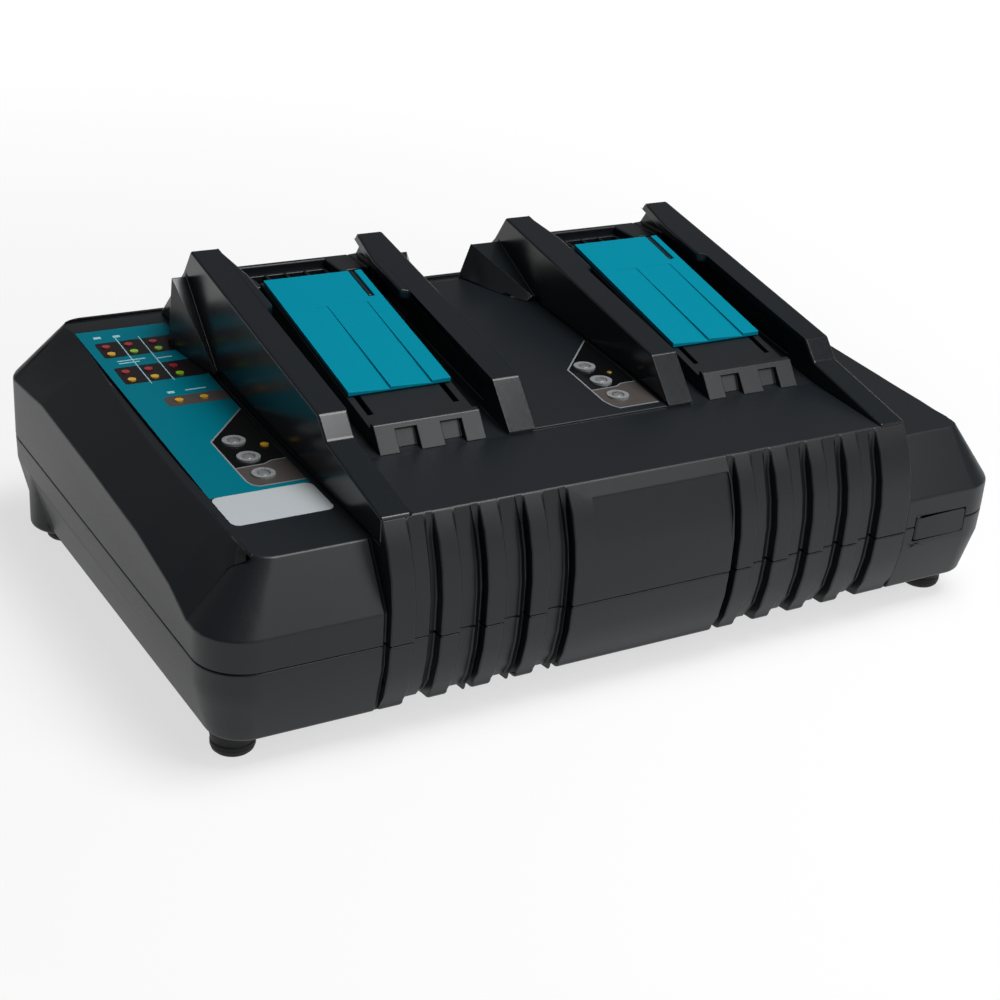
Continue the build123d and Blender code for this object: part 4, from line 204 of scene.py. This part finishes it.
def finish(name, colour, roughness, metallic=0.0, gloss=0.5, grain=None, coat=0.0, mottle=0.08):
    """A material by its real finish, made once and then found again by its name.

    colour is a hexadecimal text or linear values, gloss is the shader's specular level and grain is
    the (size, depth) of a moulded or pressed texture, in metres. The same noise that raises the
    grain makes the tone and the roughness vary a little, by the share called mottle.
    """
    if name in bpy.data.materials:
        return bpy.data.materials[name]
    tone = hex_colour(colour) if isinstance(colour, str) else list(colour)
    size, depth = grain or NO_RELIEF
    material = bpy.data.materials.new(name)
    material.use_nodes = True
    tree = material.node_tree
    tree.nodes.clear()
    place = add_node(tree, "ShaderNodeTexCoord")
    noise = add_node(tree, "ShaderNodeTexNoise", {
        "Vector": place.outputs["Object"], "Scale": 1.0 / size, "Detail": 2.0, "Roughness": 0.55})
    shade = add_node(tree, "ShaderNodeMapRange", {
        "Value": noise.outputs["Fac"], "From Min": NOISE_LOW, "From Max": NOISE_HIGH,
        "To Min": 1.0 - mottle, "To Max": 1.0 + mottle})
    tint = add_node(tree, "ShaderNodeVectorMath", {0: tone[:3]}, operation="SCALE")
    tree.links.new(shade.outputs["Result"], tint.inputs["Scale"])
    spread = add_node(tree, "ShaderNodeMapRange", {
        "Value": noise.outputs["Fac"], "From Min": NOISE_LOW, "From Max": NOISE_HIGH,
        "To Min": roughness * (1.0 - mottle), "To Max": roughness * (1.0 + mottle)})
    shader = add_node(tree, "ShaderNodeBsdfPrincipled", {
        "Base Color": tint.outputs["Vector"], "Roughness": spread.outputs["Result"], "Metallic": metallic,
        "Specular IOR Level": gloss, "Coat Weight": coat, "Coat Roughness": 0.1})
    if depth:
        relief = add_node(tree, "ShaderNodeBump", {
            "Height": noise.outputs["Fac"], "Strength": 1.0, "Distance": depth})
        tree.links.new(relief.outputs["Normal"], shader.inputs["Normal"])
    output = add_node(tree, "ShaderNodeOutputMaterial")
    tree.links.new(shader.outputs["BSDF"], output.inputs["Surface"])
    return material


def shell_plastic(looks):
    """Glass-filled black polyamide from a spark-eroded mould: a deep black with a fine, soft sparkle.

    The real grain is about a quarter of a millimetre wide. It is drawn as coarse as it needs to show.
    """
    return finish("Spark-eroded black polyamide", looks.shell_colour, 0.38, gloss=0.45,
                  grain=(looks.grain_size, looks.grain_depth))


def rail_plastic(looks):
    """The same plastic from a polished mould: smoother, so that the rails show sharp bands of light."""
    return finish("Semi-gloss black polyamide", looks.shell_colour, 0.22,
                  grain=(looks.grain_size * 2.0, looks.grain_depth * 0.15))


def tower_plastic(looks):
    """Satin moulded ABS of the terminal towers and grilles: a little greyer than the housing."""
    return finish("Satin black ABS", "14181C", 0.32, grain=(looks.grain_size, looks.grain_depth * 0.3))


def shutter_plastic(looks):
    """Teal ABS, coloured through and moulded satin: an even colour with a broad, weak highlight."""
    return finish("Satin teal ABS", looks.shutter_colour, 0.45, gloss=0.04,
                  grain=(looks.grain_size, looks.grain_depth * 0.2), mottle=0.02)


def legend_film(looks):
    """Printed polyester film: a saturated teal ground under a smooth, weakly glossy top."""
    return finish("Printed teal polyester film", looks.film_colour, 0.32, gloss=0.05, mottle=0.02)


def window_film():
    """Black gloss film of the status windows: smooth and deep, with a clear reflection."""
    return finish("Black gloss film", "0B0C0D", 0.14, gloss=0.4, mottle=0.04)


def paint(obj, material):
    """Give every slot of an object the same material."""
    if not obj.data.materials:
        obj.data.materials.append(material)
    for k in range(len(obj.data.materials)):
        obj.data.materials[k] = material


def place_piece(obj, material, body, nodes=()):
    """Link a finished piece, paint it, tie it to its CAD body, and hide the CAD nodes that it stands in for.
    """
    bpy.context.scene.collection.objects.link(obj)
    paint(obj, material)
    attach(obj, body)
    if nodes:
        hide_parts(*nodes)


def smooth_by_angle(mesh, degrees):
    """Shade a mesh smooth, and keep the edges sharper than the angle."""
    mesh.polygons.foreach_set("use_smooth", np.ones(len(mesh.polygons), dtype=bool))
    mesh.set_sharp_from_angle(angle=math.radians(degrees))


def room_beside(edge, corner):
    """How far an edge may be rounded at one of its corners before it meets the corner's next edges.

    An edge that carries straight on from the corner takes no room, but one that folds back does.
    """
    along = (edge.other_vert(corner).co - corner.co).normalized()
    rooms = []
    for other in corner.link_edges:
        if other is edge:
            continue
        across = other.other_vert(corner).co - corner.co
        square = (across - along * across.dot(along)).length
        if across.dot(along) > 0.0 or square > STRAIGHT_SHARE * across.length:
            rooms.append(ROOM_SHARE * square)
    return min(rooms, default=1.0)


def is_fold(edge):
    """Whether an edge is a fold between flat faces, and not a step of a curved surface.

    On a curved surface the depth of a face divided by the turn to the next one is the radius of
    the curve. A radius of more than FLAT_RADIUS is taken for two flat faces that meet at an edge.
    """
    turn = edge.calc_face_angle(0.0)
    area = min(face.calc_area() for face in edge.link_faces)
    depth = area / max(edge.calc_length(), SHORTEST_EDGE)
    return turn > FOLD_ANGLE or (turn > SLIGHT_ANGLE and depth > FLAT_RADIUS * turn)


def edged_copy(node, name, width, material, body):
    """Piece in a CAD node's place: a copy of the node whose sharp edges are rounded.

    The loose triangles are merged, flat regions are joined to single faces, and every edge
    that turns by more than FOLD_ANGLE is rounded with a narrow two-step arc. An edge with less
    room beside it than the full width gets the share that its room allows.
    """
    work = bmesh.new()
    work.from_mesh(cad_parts[node].data)
    bmesh.ops.remove_doubles(work, verts=work.verts, dist=MERGE_DISTANCE)
    bmesh.ops.dissolve_limit(work, angle_limit=LEVEL_ANGLE, verts=work.verts, edges=work.edges)
    share = work.edges.layers.float.new("bevel_weight_edge")
    for face in work.faces:
        face.smooth = True
    for edge in work.edges:
        if len(edge.link_faces) != 2:
            continue
        edge.smooth = not is_fold(edge)
        if edge.calc_face_angle() > FOLD_ANGLE:
            room = min(room_beside(edge, corner) for corner in edge.verts)
            edge[share] = min(1.0, room / width)
    mesh = bpy.data.meshes.new(name)
    work.to_mesh(mesh)
    work.free()
    obj = bpy.data.objects.new(name, mesh)
    rounding = obj.modifiers.new("Moulded edges", "BEVEL")
    rounding.width = width
    rounding.segments = 2
    rounding.limit_method = "WEIGHT"
    rounding.use_clamp_overlap = False
    rounding.harden_normals = True
    rounding.miter_outer = "MITER_SHARP"
    place_piece(obj, material, body, (node,))


def top_finder(*nodes):
    """Function that gives the height of the highest of some CAD nodes' surfaces over a point, in metres."""
    trees = []
    for node in nodes:
        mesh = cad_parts[node].data
        corners = [v.co.copy() for v in mesh.vertices]
        trees.append(BVHTree.FromPolygons(corners, [tuple(p.vertices) for p in mesh.polygons]))

    def height(x, y):
        """Highest first hit straight down from above the object."""
        hits = [tree.ray_cast(Vector((x, y, 1.0)), Vector((0.0, 0.0, -1.0)))[0] for tree in trees]
        return max(hit.z for hit in hits if hit)

    return height


def on_surface(points, height):
    """Points in millimetres, as seen from above, put on a surface: rows of (x, y, z) in metres."""
    flat = np.array(points, dtype=float) * MM
    return np.column_stack([flat, [height(x, y) for x, y in flat]])


def mesh_from(name, verts, faces):
    """Mesh from an array of corners and a list of faces."""
    mesh = bpy.data.meshes.new(name)
    mesh.from_pydata(verts.tolist(), [], faces)
    return mesh


def slab(name, outline, height, lift):
    """Thin closed sheet with a given counter-clockwise outline that follows the surface under it.

    Each corner of the outline is put at the surface's height plus the lift, and again at the
    surface's height less PRINT_SINK, so that the sheet has a top, a bottom and a rim.
    """
    base = on_surface(outline, height)
    count = len(base)
    verts = np.vstack([base + (0.0, 0.0, lift), base - (0.0, 0.0, PRINT_SINK)])
    here = np.arange(count)
    following = np.roll(here, -1)
    rim = np.column_stack([following, here, here + count, following + count])
    return mesh_from(name, verts, [here.tolist(), (here[::-1] + count).tolist(), *rim.tolist()])


def rounded_box(low, high, radius, steps=4):
    """Outline of a rectangle with rounded corners, counter-clockwise, in millimetres.

    Each corner is a quarter circle, its centre plus the radius times the cosine and the sine of
    an angle that runs on by 90 degrees from corner to corner.
    """
    centre_x = np.array([high[0] - radius, low[0] + radius, low[0] + radius, high[0] - radius])
    centre_y = np.array([high[1] - radius, high[1] - radius, low[1] + radius, low[1] + radius])
    start = np.array([0.0, 90.0, 180.0, 270.0])
    angles = np.radians(start[:, None] + np.linspace(0.0, 90.0, steps + 1))
    x = centre_x[:, None] + radius * np.cos(angles)
    y = centre_y[:, None] + radius * np.sin(angles)
    return np.column_stack([x.ravel(), y.ravel()])


def line_sides(path, width):
    """Left and right side of a line of a given width along a path, with mitred bends.

    At each point the side lies square to the mean of the directions before and after it, at
    half the width divided by the cosine of half the bend.
    """
    along = np.diff(path, axis=0)
    along /= np.linalg.norm(along, axis=1)[:, None]
    before = np.vstack([along[:1], along])
    after = np.vstack([along, along[-1:]])
    mean = before + after
    mean /= np.linalg.norm(mean, axis=1)[:, None]
    square = np.column_stack([-mean[:, 1], mean[:, 0]])
    reach = (width / 2) / np.maximum(MITRE_LIMIT, np.sum(mean * after, axis=1))
    return path + square * reach[:, None], path - square * reach[:, None]


def line_mesh(name, points, width, height, lift):
    """Thin closed ribbon along the points that follows the surface under it.

    A flat rectangle is carried along the path. Its four corners are the left and right side of
    the line, at the surface's height plus the lift and at the surface's height less PRINT_SINK.
    """
    stops = [np.array(points[:1])]
    for a, b in zip(points, points[1:]):
        steps = max(1, int(math.dist(a, b) / LINE_STEP))
        stops.append(np.linspace(a, b, steps + 1)[1:])
    path = np.vstack(stops)
    left, right = line_sides(path, width)
    level = on_surface(path, height)[:, 2]
    corners = [(left, lift), (right, lift), (right, -PRINT_SINK), (left, -PRINT_SINK)]
    verts = np.stack([np.column_stack([side * MM, level + rise]) for side, rise in corners], axis=1)
    index = np.arange(4 * len(path)).reshape(-1, 4)
    near, far = index[:-1], index[1:]
    walls = np.stack([near, far, np.roll(far, -1, axis=1), np.roll(near, -1, axis=1)], axis=-1)
    ends = [index[0].tolist(), index[-1, ::-1].tolist()]
    return mesh_from(name, verts.reshape(-1, 3), ends + walls.reshape(-1, 4).tolist())


def lathe(name, spots, profile, steps):
    """Round pieces with one profile of (radius, height) pairs, in millimetres, one at each spot.

    A corner is the spot plus (radius times cosine, radius times sine, height), for each pair of
    the profile and each angle. The first and the last circle are closed with flat faces.
    """
    angles = np.linspace(0.0, 2 * math.pi, steps, endpoint=False)
    radius, rise = np.array(profile).T[:, :, None] * MM
    turned = np.stack(np.broadcast_arrays(radius * np.cos(angles), radius * np.sin(angles), rise), axis=-1)
    verts = spots[:, None, None, :] + turned
    index = np.arange(verts[..., 0].size).reshape(verts.shape[:3])
    near, far = index[:, :-1], index[:, 1:]
    walls = np.stack([near, np.roll(near, -1, axis=2), np.roll(far, -1, axis=2), far], axis=-1)
    ends = index[:, 0, ::-1].tolist() + index[:, -1].tolist()
    return mesh_from(name, verts.reshape(-1, 3), ends + walls.reshape(-1, 4).tolist())


def join_meshes(name, meshes):
    """One object from several meshes, without moving any of them, with its faces turned outwards."""
    work = bmesh.new()
    for mesh in meshes:
        work.from_mesh(mesh)
        bpy.data.meshes.remove(mesh)
    bmesh.ops.recalc_face_normals(work, faces=work.faces)
    joined = bpy.data.meshes.new(name)
    work.to_mesh(joined)
    work.free()
    return bpy.data.objects.new(name, joined)


class CHARGER_OT_shells(bpy.types.Operator):
    """Housing halves and the USB cover with moulded edges"""

    bl_idname = "charger.shells"
    bl_label = "Housing"

    def execute(self, context):
        looks = context.scene.charger_looks
        black = shell_plastic(looks)
        edged_copy("upper_housing", "Upper_housing", looks.shell_edge, black, "housing")
        edged_copy("lower_housing", "Lower_housing", looks.shell_edge, black, "housing")
        edged_copy("usb_cover", "USB_cover", looks.trim_edge, black, "usb_cover")
        return {"FINISHED"}


class CHARGER_OT_rails(bpy.types.Operator):
    """Battery rails with moulded edges"""

    bl_idname = "charger.rails"
    bl_label = "Battery rails"

    def execute(self, context):
        looks = context.scene.charger_looks
        for side in SIDES:
            for place in ("outer", "inner"):
                edged_copy(f"rail_{side}_{place}", f"Rail_{side}_{place}", looks.rail_edge,
                           rail_plastic(looks), "housing")
        return {"FINISHED"}


class CHARGER_OT_towers(bpy.types.Operator):
    """Terminal towers, outlet grilles and the sliding shutters"""

    bl_idname = "charger.towers"
    bl_label = "Towers and shutters"

    def execute(self, context):
        looks = context.scene.charger_looks
        for side in SIDES:
            edged_copy(f"terminal_tower_{side}", f"Terminal_tower_{side}", looks.trim_edge,
                       tower_plastic(looks), "housing")
            edged_copy(f"outlet_grille_{side}", f"Outlet_grille_{side}", looks.trim_edge,
                       tower_plastic(looks), "housing")
            edged_copy(f"shutter_{side}", f"Shutter_{side}", looks.trim_edge,
                       shutter_plastic(looks), f"shutter_{side}")
        return {"FINISHED"}


class CHARGER_OT_legend(bpy.types.Operator):
    """Printed areas of the legend film and the two status windows"""

    bl_idname = "charger.legend"
    bl_label = "Legend and windows"

    def execute(self, context):
        looks = context.scene.charger_looks
        film = top_finder("legend_label", "upper_housing")
        left = top_finder("status_window_left", "legend_label", "upper_housing")
        centre = top_finder("status_window_centre", "upper_housing")
        lift = looks.print_height
        width = looks.line_width / MM
        # An even black with a faint warm cast and a weak shine.
        black_print = finish("Black screen-printed ink", "1B1517", 0.32, gloss=0.25)
        # A dull grey-brown that stands out from the black window.
        grey_print = finish("Grey-brown screen-printed ink", "4A4543", 0.35, gloss=0.25)
        # A pale blue-green, half matt.
        pale_print = finish("Pale screen-printed ink", "9CC4CC", 0.40, gloss=0.25)
        # Ink with metal flakes: brighter at some angles, but never a mirror.
        silver_print = finish("Silver screen-printed ink", "9CA0A2", 0.35, metallic=0.3)

        cells = [slab("cell", rounded_box((x0, y0), (x1, y1), CELL_CORNER), film, lift)
                 for y0, y1 in CHART_ROWS for x0, x1 in CHART_COLUMNS]
        place_piece(join_meshes("Legend_chart_cells", cells), black_print, "housing")
        strip = slab("strip", rounded_box(*HINT_STRIP, HINT_CORNER), film, lift)
        place_piece(join_meshes("Legend_hint_strip", [strip]), grey_print, "housing")
        marks = [slab("mark", rounded_box(a, b, MARK_CORNER), film, lift) for a, b in SMALL_MARKS]
        marks += [line_mesh("rule", rule, RULE_WIDTH, film, RULE_LIFT * lift) for rule in CHART_RULES]
        place_piece(join_meshes("Legend_marks", marks), pale_print, "housing")

        bands = [slab("band", WINDOW_LEFT_BAND, left, lift), slab("band", WINDOW_CENTRE_BAND, centre, lift)]
        place_piece(join_meshes("Window_bands", bands), grey_print, "housing")
        strokes = [(WINDOW_LEFT_LINE, width, left), (WINDOW_LEFT_EDGE, width * EDGE_SHARE, left),
                   (WINDOW_CENTRE_LINE, width, centre), (WINDOW_CENTRE_EDGE, width * EDGE_SHARE, centre)]
        lines = [line_mesh("line", points, wide, window, LINE_LIFT * lift)
                 for points, wide, window in strokes]
        place_piece(join_meshes("Window_outlines", lines), silver_print, "housing")
        return {"FINISHED"}


class CHARGER_OT_rings(bpy.types.Operator):
    """Domed centres of the six indicator rings and the small lamp of the centre window"""

    bl_idname = "charger.rings"
    bl_label = "Indicator rings"

    def execute(self, context):
        spots = on_surface(RINGS_LEFT + RINGS_CENTRE, top_finder("ring_lenses"))
        centres = join_meshes("Ring_centres", [lathe("dome", spots, RING_PROFILE, RING_STEPS)])
        smooth_by_angle(centres.data, RING_SHARP)
        # Unlit light guides: a cloudy grey under a glassy skin that catches small highlights.
        cloudy = finish("Grey moulded polycarbonate", "77797A", 0.28, coat=0.5)
        place_piece(centres, cloudy, "housing", ("ring_lenses",))

        spot = on_surface([LAMP_PLACE], top_finder("status_window_centre", "upper_housing"))
        lamp = join_meshes("Centre_window_lamp", [lathe("bead", spot, LAMP_PROFILE, LAMP_STEPS)])
        smooth_by_angle(lamp.data, LAMP_SHARP)
        # A small unlit lamp: brownish amber, glassy on top.
        amber = finish("Dim amber lens", "8A6420", 0.25, coat=0.5)
        place_piece(lamp, amber, "housing")
        return {"FINISHED"}


class CHARGER_OT_finishes(bpy.types.Operator):
    """Materials of the CAD nodes that are shown as they are"""

    bl_idname = "charger.finishes"
    bl_label = "Finishes"

    def execute(self, context):
        looks = context.scene.charger_looks
        # A cool grey metal with soft highlights.
        steel = finish("Zinc-plated steel", "A8ABAD", 0.32, metallic=1.0)
        # A light, warm metal, a little smoother than the steel.
        tin = finish("Tin-plated contact", "C6C3BA", 0.25, metallic=1.0)
        # Dull and nearly black, with the mould's grain, so that it looks soft.
        rubber = finish("Moulded black rubber", "101112", 0.55, gloss=0.35,
                        grain=(looks.grain_size, looks.grain_depth))
        # Plain black plastic with a weak shine, darker than the housing.
        moulding = finish("Black moulded insert", "0E0F10", 0.45, gloss=0.35)
        # Green lacquer over copper: a deep, half-glossy green.
        resist = finish("Green solder resist", "0F5B32", 0.35)
        choices = {
            "legend_label": legend_film(looks), "status_window_left": window_film(),
            "status_window_centre": window_film(),
            # An even pale grey, with a weak reflection of the lights.
            "blank_plate": finish("Pale grey printed film", "B4BABD", 0.28, gloss=0.3, mottle=0.02),
            # Thin metal on plastic: a soft silver with its own grey, not a mirror.
            "ring_bezels": finish("Satin metallised ring", "A4A7A9", 0.28, metallic=0.35),
            # Unlit clear plastic lamps: saturated under a glassy skin.
            "lenses_red": finish("Red light pipe", "9A2430", 0.20, coat=0.6),
            "lenses_yellow": finish("Yellow light pipe", "D9A92E", 0.20, coat=0.6),
            "lenses_green": finish("Yellow-green light pipe", "8FBF2E", 0.20, coat=0.6),
            "housing_screws": steel, "rail_screws": steel, "fan_screws": steel, "board_screws": steel,
            "cord_gland": rubber, "power_transistors": moulding,
            "main_board": resist, "display_board": resist, "usb_board": resist,
            # Fired and ground ceramic: a matt charcoal.
            "transformer_core": finish("Sintered ferrite", "2A2B2D", 0.55),
            # Thin plastic tape: a strong yellow with a soft shine.
            "transformer_winding": finish("Yellow insulating tape", "C79A22", 0.40),
            # Stretched plastic sleeve: a smooth dark blue with clear highlights.
            "bulk_capacitors": finish("Dark blue shrink sleeve", "14213F", 0.25),
            # Bare drawn metal: a light grey with broad highlights.
            "heat_sinks": finish("Extruded aluminium", "B9BCBE", 0.35, metallic=1.0),
            # Lacquered wire: a red-brown metal.
            "toroid_chokes": finish("Enamelled copper wire", "9A4F22", 0.30, metallic=0.9),
            # Plain plastic box: an off-white, half-glossy.
            "relays": finish("Pale moulded relay case", "D5D8D4", 0.35),
            # Folded, plated sheet: a bright, slightly warm metal.
            "usb_socket": finish("Nickel-plated steel", "BDBDBB", 0.25, metallic=1.0),
            # Plain plastic tongue: an off-white with a weak shine.
            "usb_tongue": finish("White contact carrier", "D8D8D4", 0.40),
        }
        for side in SIDES:
            choices[f"shutter_spring_{side}"] = steel
            choices[f"blades_{side}"] = tin
            for end in ("front", "rear"):
                choices[f"foot_{end}_{side}"] = rubber
            for part in ("terminal_block", "signal_socket", "air_duct", "fan_frame", "fan_rotor"):
                choices[f"{part}_{side}"] = moulding
        for node, material in choices.items():
            paint(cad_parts[node], material)
        return {"FINISHED"}


def lit_by_ray(tree, shader, seen, other, mirrored):
    """Strength of an emission or a background: one value where it is seen, and another for its light.

    Camera rays and transmission rays see it in full. Glossy rays see a value between the two, at
    the share called mirrored, because black plastic under a whole white dome would turn grey.
    """
    rays = add_node(tree, "ShaderNodeLightPath")
    through = add_node(tree, "ShaderNodeMath", {
        0: rays.outputs["Is Camera Ray"], 1: rays.outputs["Is Transmission Ray"]},
        operation="ADD", use_clamp=True)
    share = add_node(tree, "ShaderNodeMath", {
        0: rays.outputs["Is Glossy Ray"], 1: mirrored, 2: through.outputs["Value"]},
        operation="MULTIPLY_ADD", use_clamp=True)
    level = add_node(tree, "ShaderNodeMapRange", {
        "Value": share.outputs["Value"], "To Min": other, "To Max": seen})
    tree.links.new(level.outputs["Result"], shader.inputs["Strength"])


class CHARGER_OT_studio(bpy.types.Operator):
    """Pale floor, soft lights and the camera"""

    bl_idname = "charger.studio"
    bl_label = "Studio"

    def add_light(self, name, place, size, power):
        """Soft rectangular light that faces the charger."""
        data = bpy.data.lights.new(name, "AREA")
        data.shape = "RECTANGLE"
        data.size, data.size_y = size
        data.energy = power
        light = bpy.data.objects.new(name, data)
        light.location = place
        light.rotation_euler = (Vector(LIGHT_TARGET) - Vector(place)).to_track_quat("-Z", "Y").to_euler()
        bpy.context.scene.collection.objects.link(light)

    def add_floor(self):
        """Large pale floor that glows a little, so that it stays pale and its shadow stays faint."""
        corners = np.array([(-1.0, -1.0, 0.0), (1.0, -1.0, 0.0), (1.0, 1.0, 0.0), (-1.0, 1.0, 0.0)])
        mesh = mesh_from("Studio_floor", FLOOR_HALF * corners, [(0, 1, 2, 3)])
        floor = bpy.data.objects.new("Studio_floor", mesh)
        bpy.context.scene.collection.objects.link(floor)
        # Uncoated paper: an even ground without any reflection.
        material = bpy.data.materials.new("Matt white paper")
        material.use_nodes = True
        tree = material.node_tree
        tree.nodes.clear()
        paper = add_node(tree, "ShaderNodeBsdfDiffuse", {"Color": hex_colour("9A9A9A")})
        glow = add_node(tree, "ShaderNodeEmission", {"Color": WHITE})
        place = add_node(tree, "ShaderNodeTexCoord")
        reach = add_node(tree, "ShaderNodeVectorMath", {0: place.outputs["Object"]}, operation="LENGTH")
        # The paper gets less of the lamps' light further out, and glows more there instead.
        level = add_node(tree, "ShaderNodeMapRange", {
            "Value": reach.outputs["Value"], "From Min": FLOOR_REACH[0], "From Max": FLOOR_REACH[1],
            "To Min": FLOOR_GLOW[0], "To Max": FLOOR_GLOW[1]})
        lit_by_ray(tree, glow, level.outputs["Result"], FLOOR_LIGHT, FLOOR_MIRRORED)
        both = add_node(tree, "ShaderNodeAddShader", {0: paper.outputs["BSDF"], 1: glow.outputs["Emission"]})
        output = add_node(tree, "ShaderNodeOutputMaterial")
        tree.links.new(both.outputs["Shader"], output.inputs["Surface"])
        paint(floor, material)

    def add_surround(self, strength):
        """White where the camera looks past the floor, and a weak even light for everything else."""
        world = bpy.data.worlds.new("Studio_surround")
        world.use_nodes = True
        background = world.node_tree.nodes["Background"]
        background.inputs["Color"].default_value = WHITE
        lit_by_ray(world.node_tree, background, SURROUND_SEEN, strength, SURROUND_MIRRORED)
        bpy.context.scene.world = world

    def add_camera(self, studio):
        """Camera with its place, its direction and its roll."""
        back = Vector((math.sin(studio.azimuth) * math.cos(studio.elevation),
                       -math.cos(studio.azimuth) * math.cos(studio.elevation), math.sin(studio.elevation)))
        right = (-back).cross(Vector((0.0, 0.0, 1.0))).normalized()
        up = right.cross(-back)
        right_rolled = right * math.cos(studio.roll) + up * math.sin(studio.roll)
        up_rolled = up * math.cos(studio.roll) - right * math.sin(studio.roll)
        data = bpy.data.cameras.new("Studio_camera")
        data.lens = studio.lens
        data.sensor_width = SENSOR_WIDTH
        camera = bpy.data.objects.new("Studio_camera", data)
        turn = Matrix((right_rolled, up_rolled, back)).transposed().to_4x4()
        camera.matrix_world = Matrix.Translation(studio.place) @ turn
        bpy.context.scene.collection.objects.link(camera)
        bpy.context.scene.camera = camera

    def execute(self, context):
        studio = context.scene.charger_studio
        self.add_floor()
        self.add_surround(studio.surround)
        for name, power, place, size in LIGHTS:
            self.add_light(name, place, size, getattr(studio, power))
        self.add_camera(studio)
        context.scene.view_settings.view_transform = "Standard"
        return {"FINISHED"}


class CHARGER_PT_panel(bpy.types.Panel):
    """Settings and build steps of the charger's looks"""

    bl_idname = "CHARGER_PT_panel"
    bl_label = "Charger"
    bl_space_type = "VIEW_3D"
    bl_region_type = "UI"
    bl_category = "Charger"

    def draw(self, context):
        for settings in (context.scene.charger_looks, context.scene.charger_studio):
            for key in type(settings).__annotations__:
                self.layout.prop(settings, key)
        for step in STEPS:
            self.layout.operator(step.bl_idname)


STEPS = [CHARGER_OT_shells, CHARGER_OT_rails, CHARGER_OT_towers, CHARGER_OT_legend, CHARGER_OT_rings,
         CHARGER_OT_finishes, CHARGER_OT_studio]
CLASSES = [ChargerLooks, ChargerStudio, *STEPS, CHARGER_PT_panel]


def register():
    """Register the classes and the scene's settings."""
    for item in CLASSES:
        bpy.utils.register_class(item)
    bpy.types.Scene.charger_looks = PointerProperty(type=ChargerLooks)
    bpy.types.Scene.charger_studio = PointerProperty(type=ChargerStudio)


def unregister():
    """Undo register."""
    del bpy.types.Scene.charger_studio
    del bpy.types.Scene.charger_looks
    for item in reversed(CLASSES):
        bpy.utils.unregister_class(item)


def main():
    """Build every piece and the studio."""
    register()
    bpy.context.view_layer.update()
    for step in STEPS:
        area, name = step.bl_idname.split(".")
        getattr(getattr(bpy.ops, area), name)()


if __name__ == "__main__":
    main()
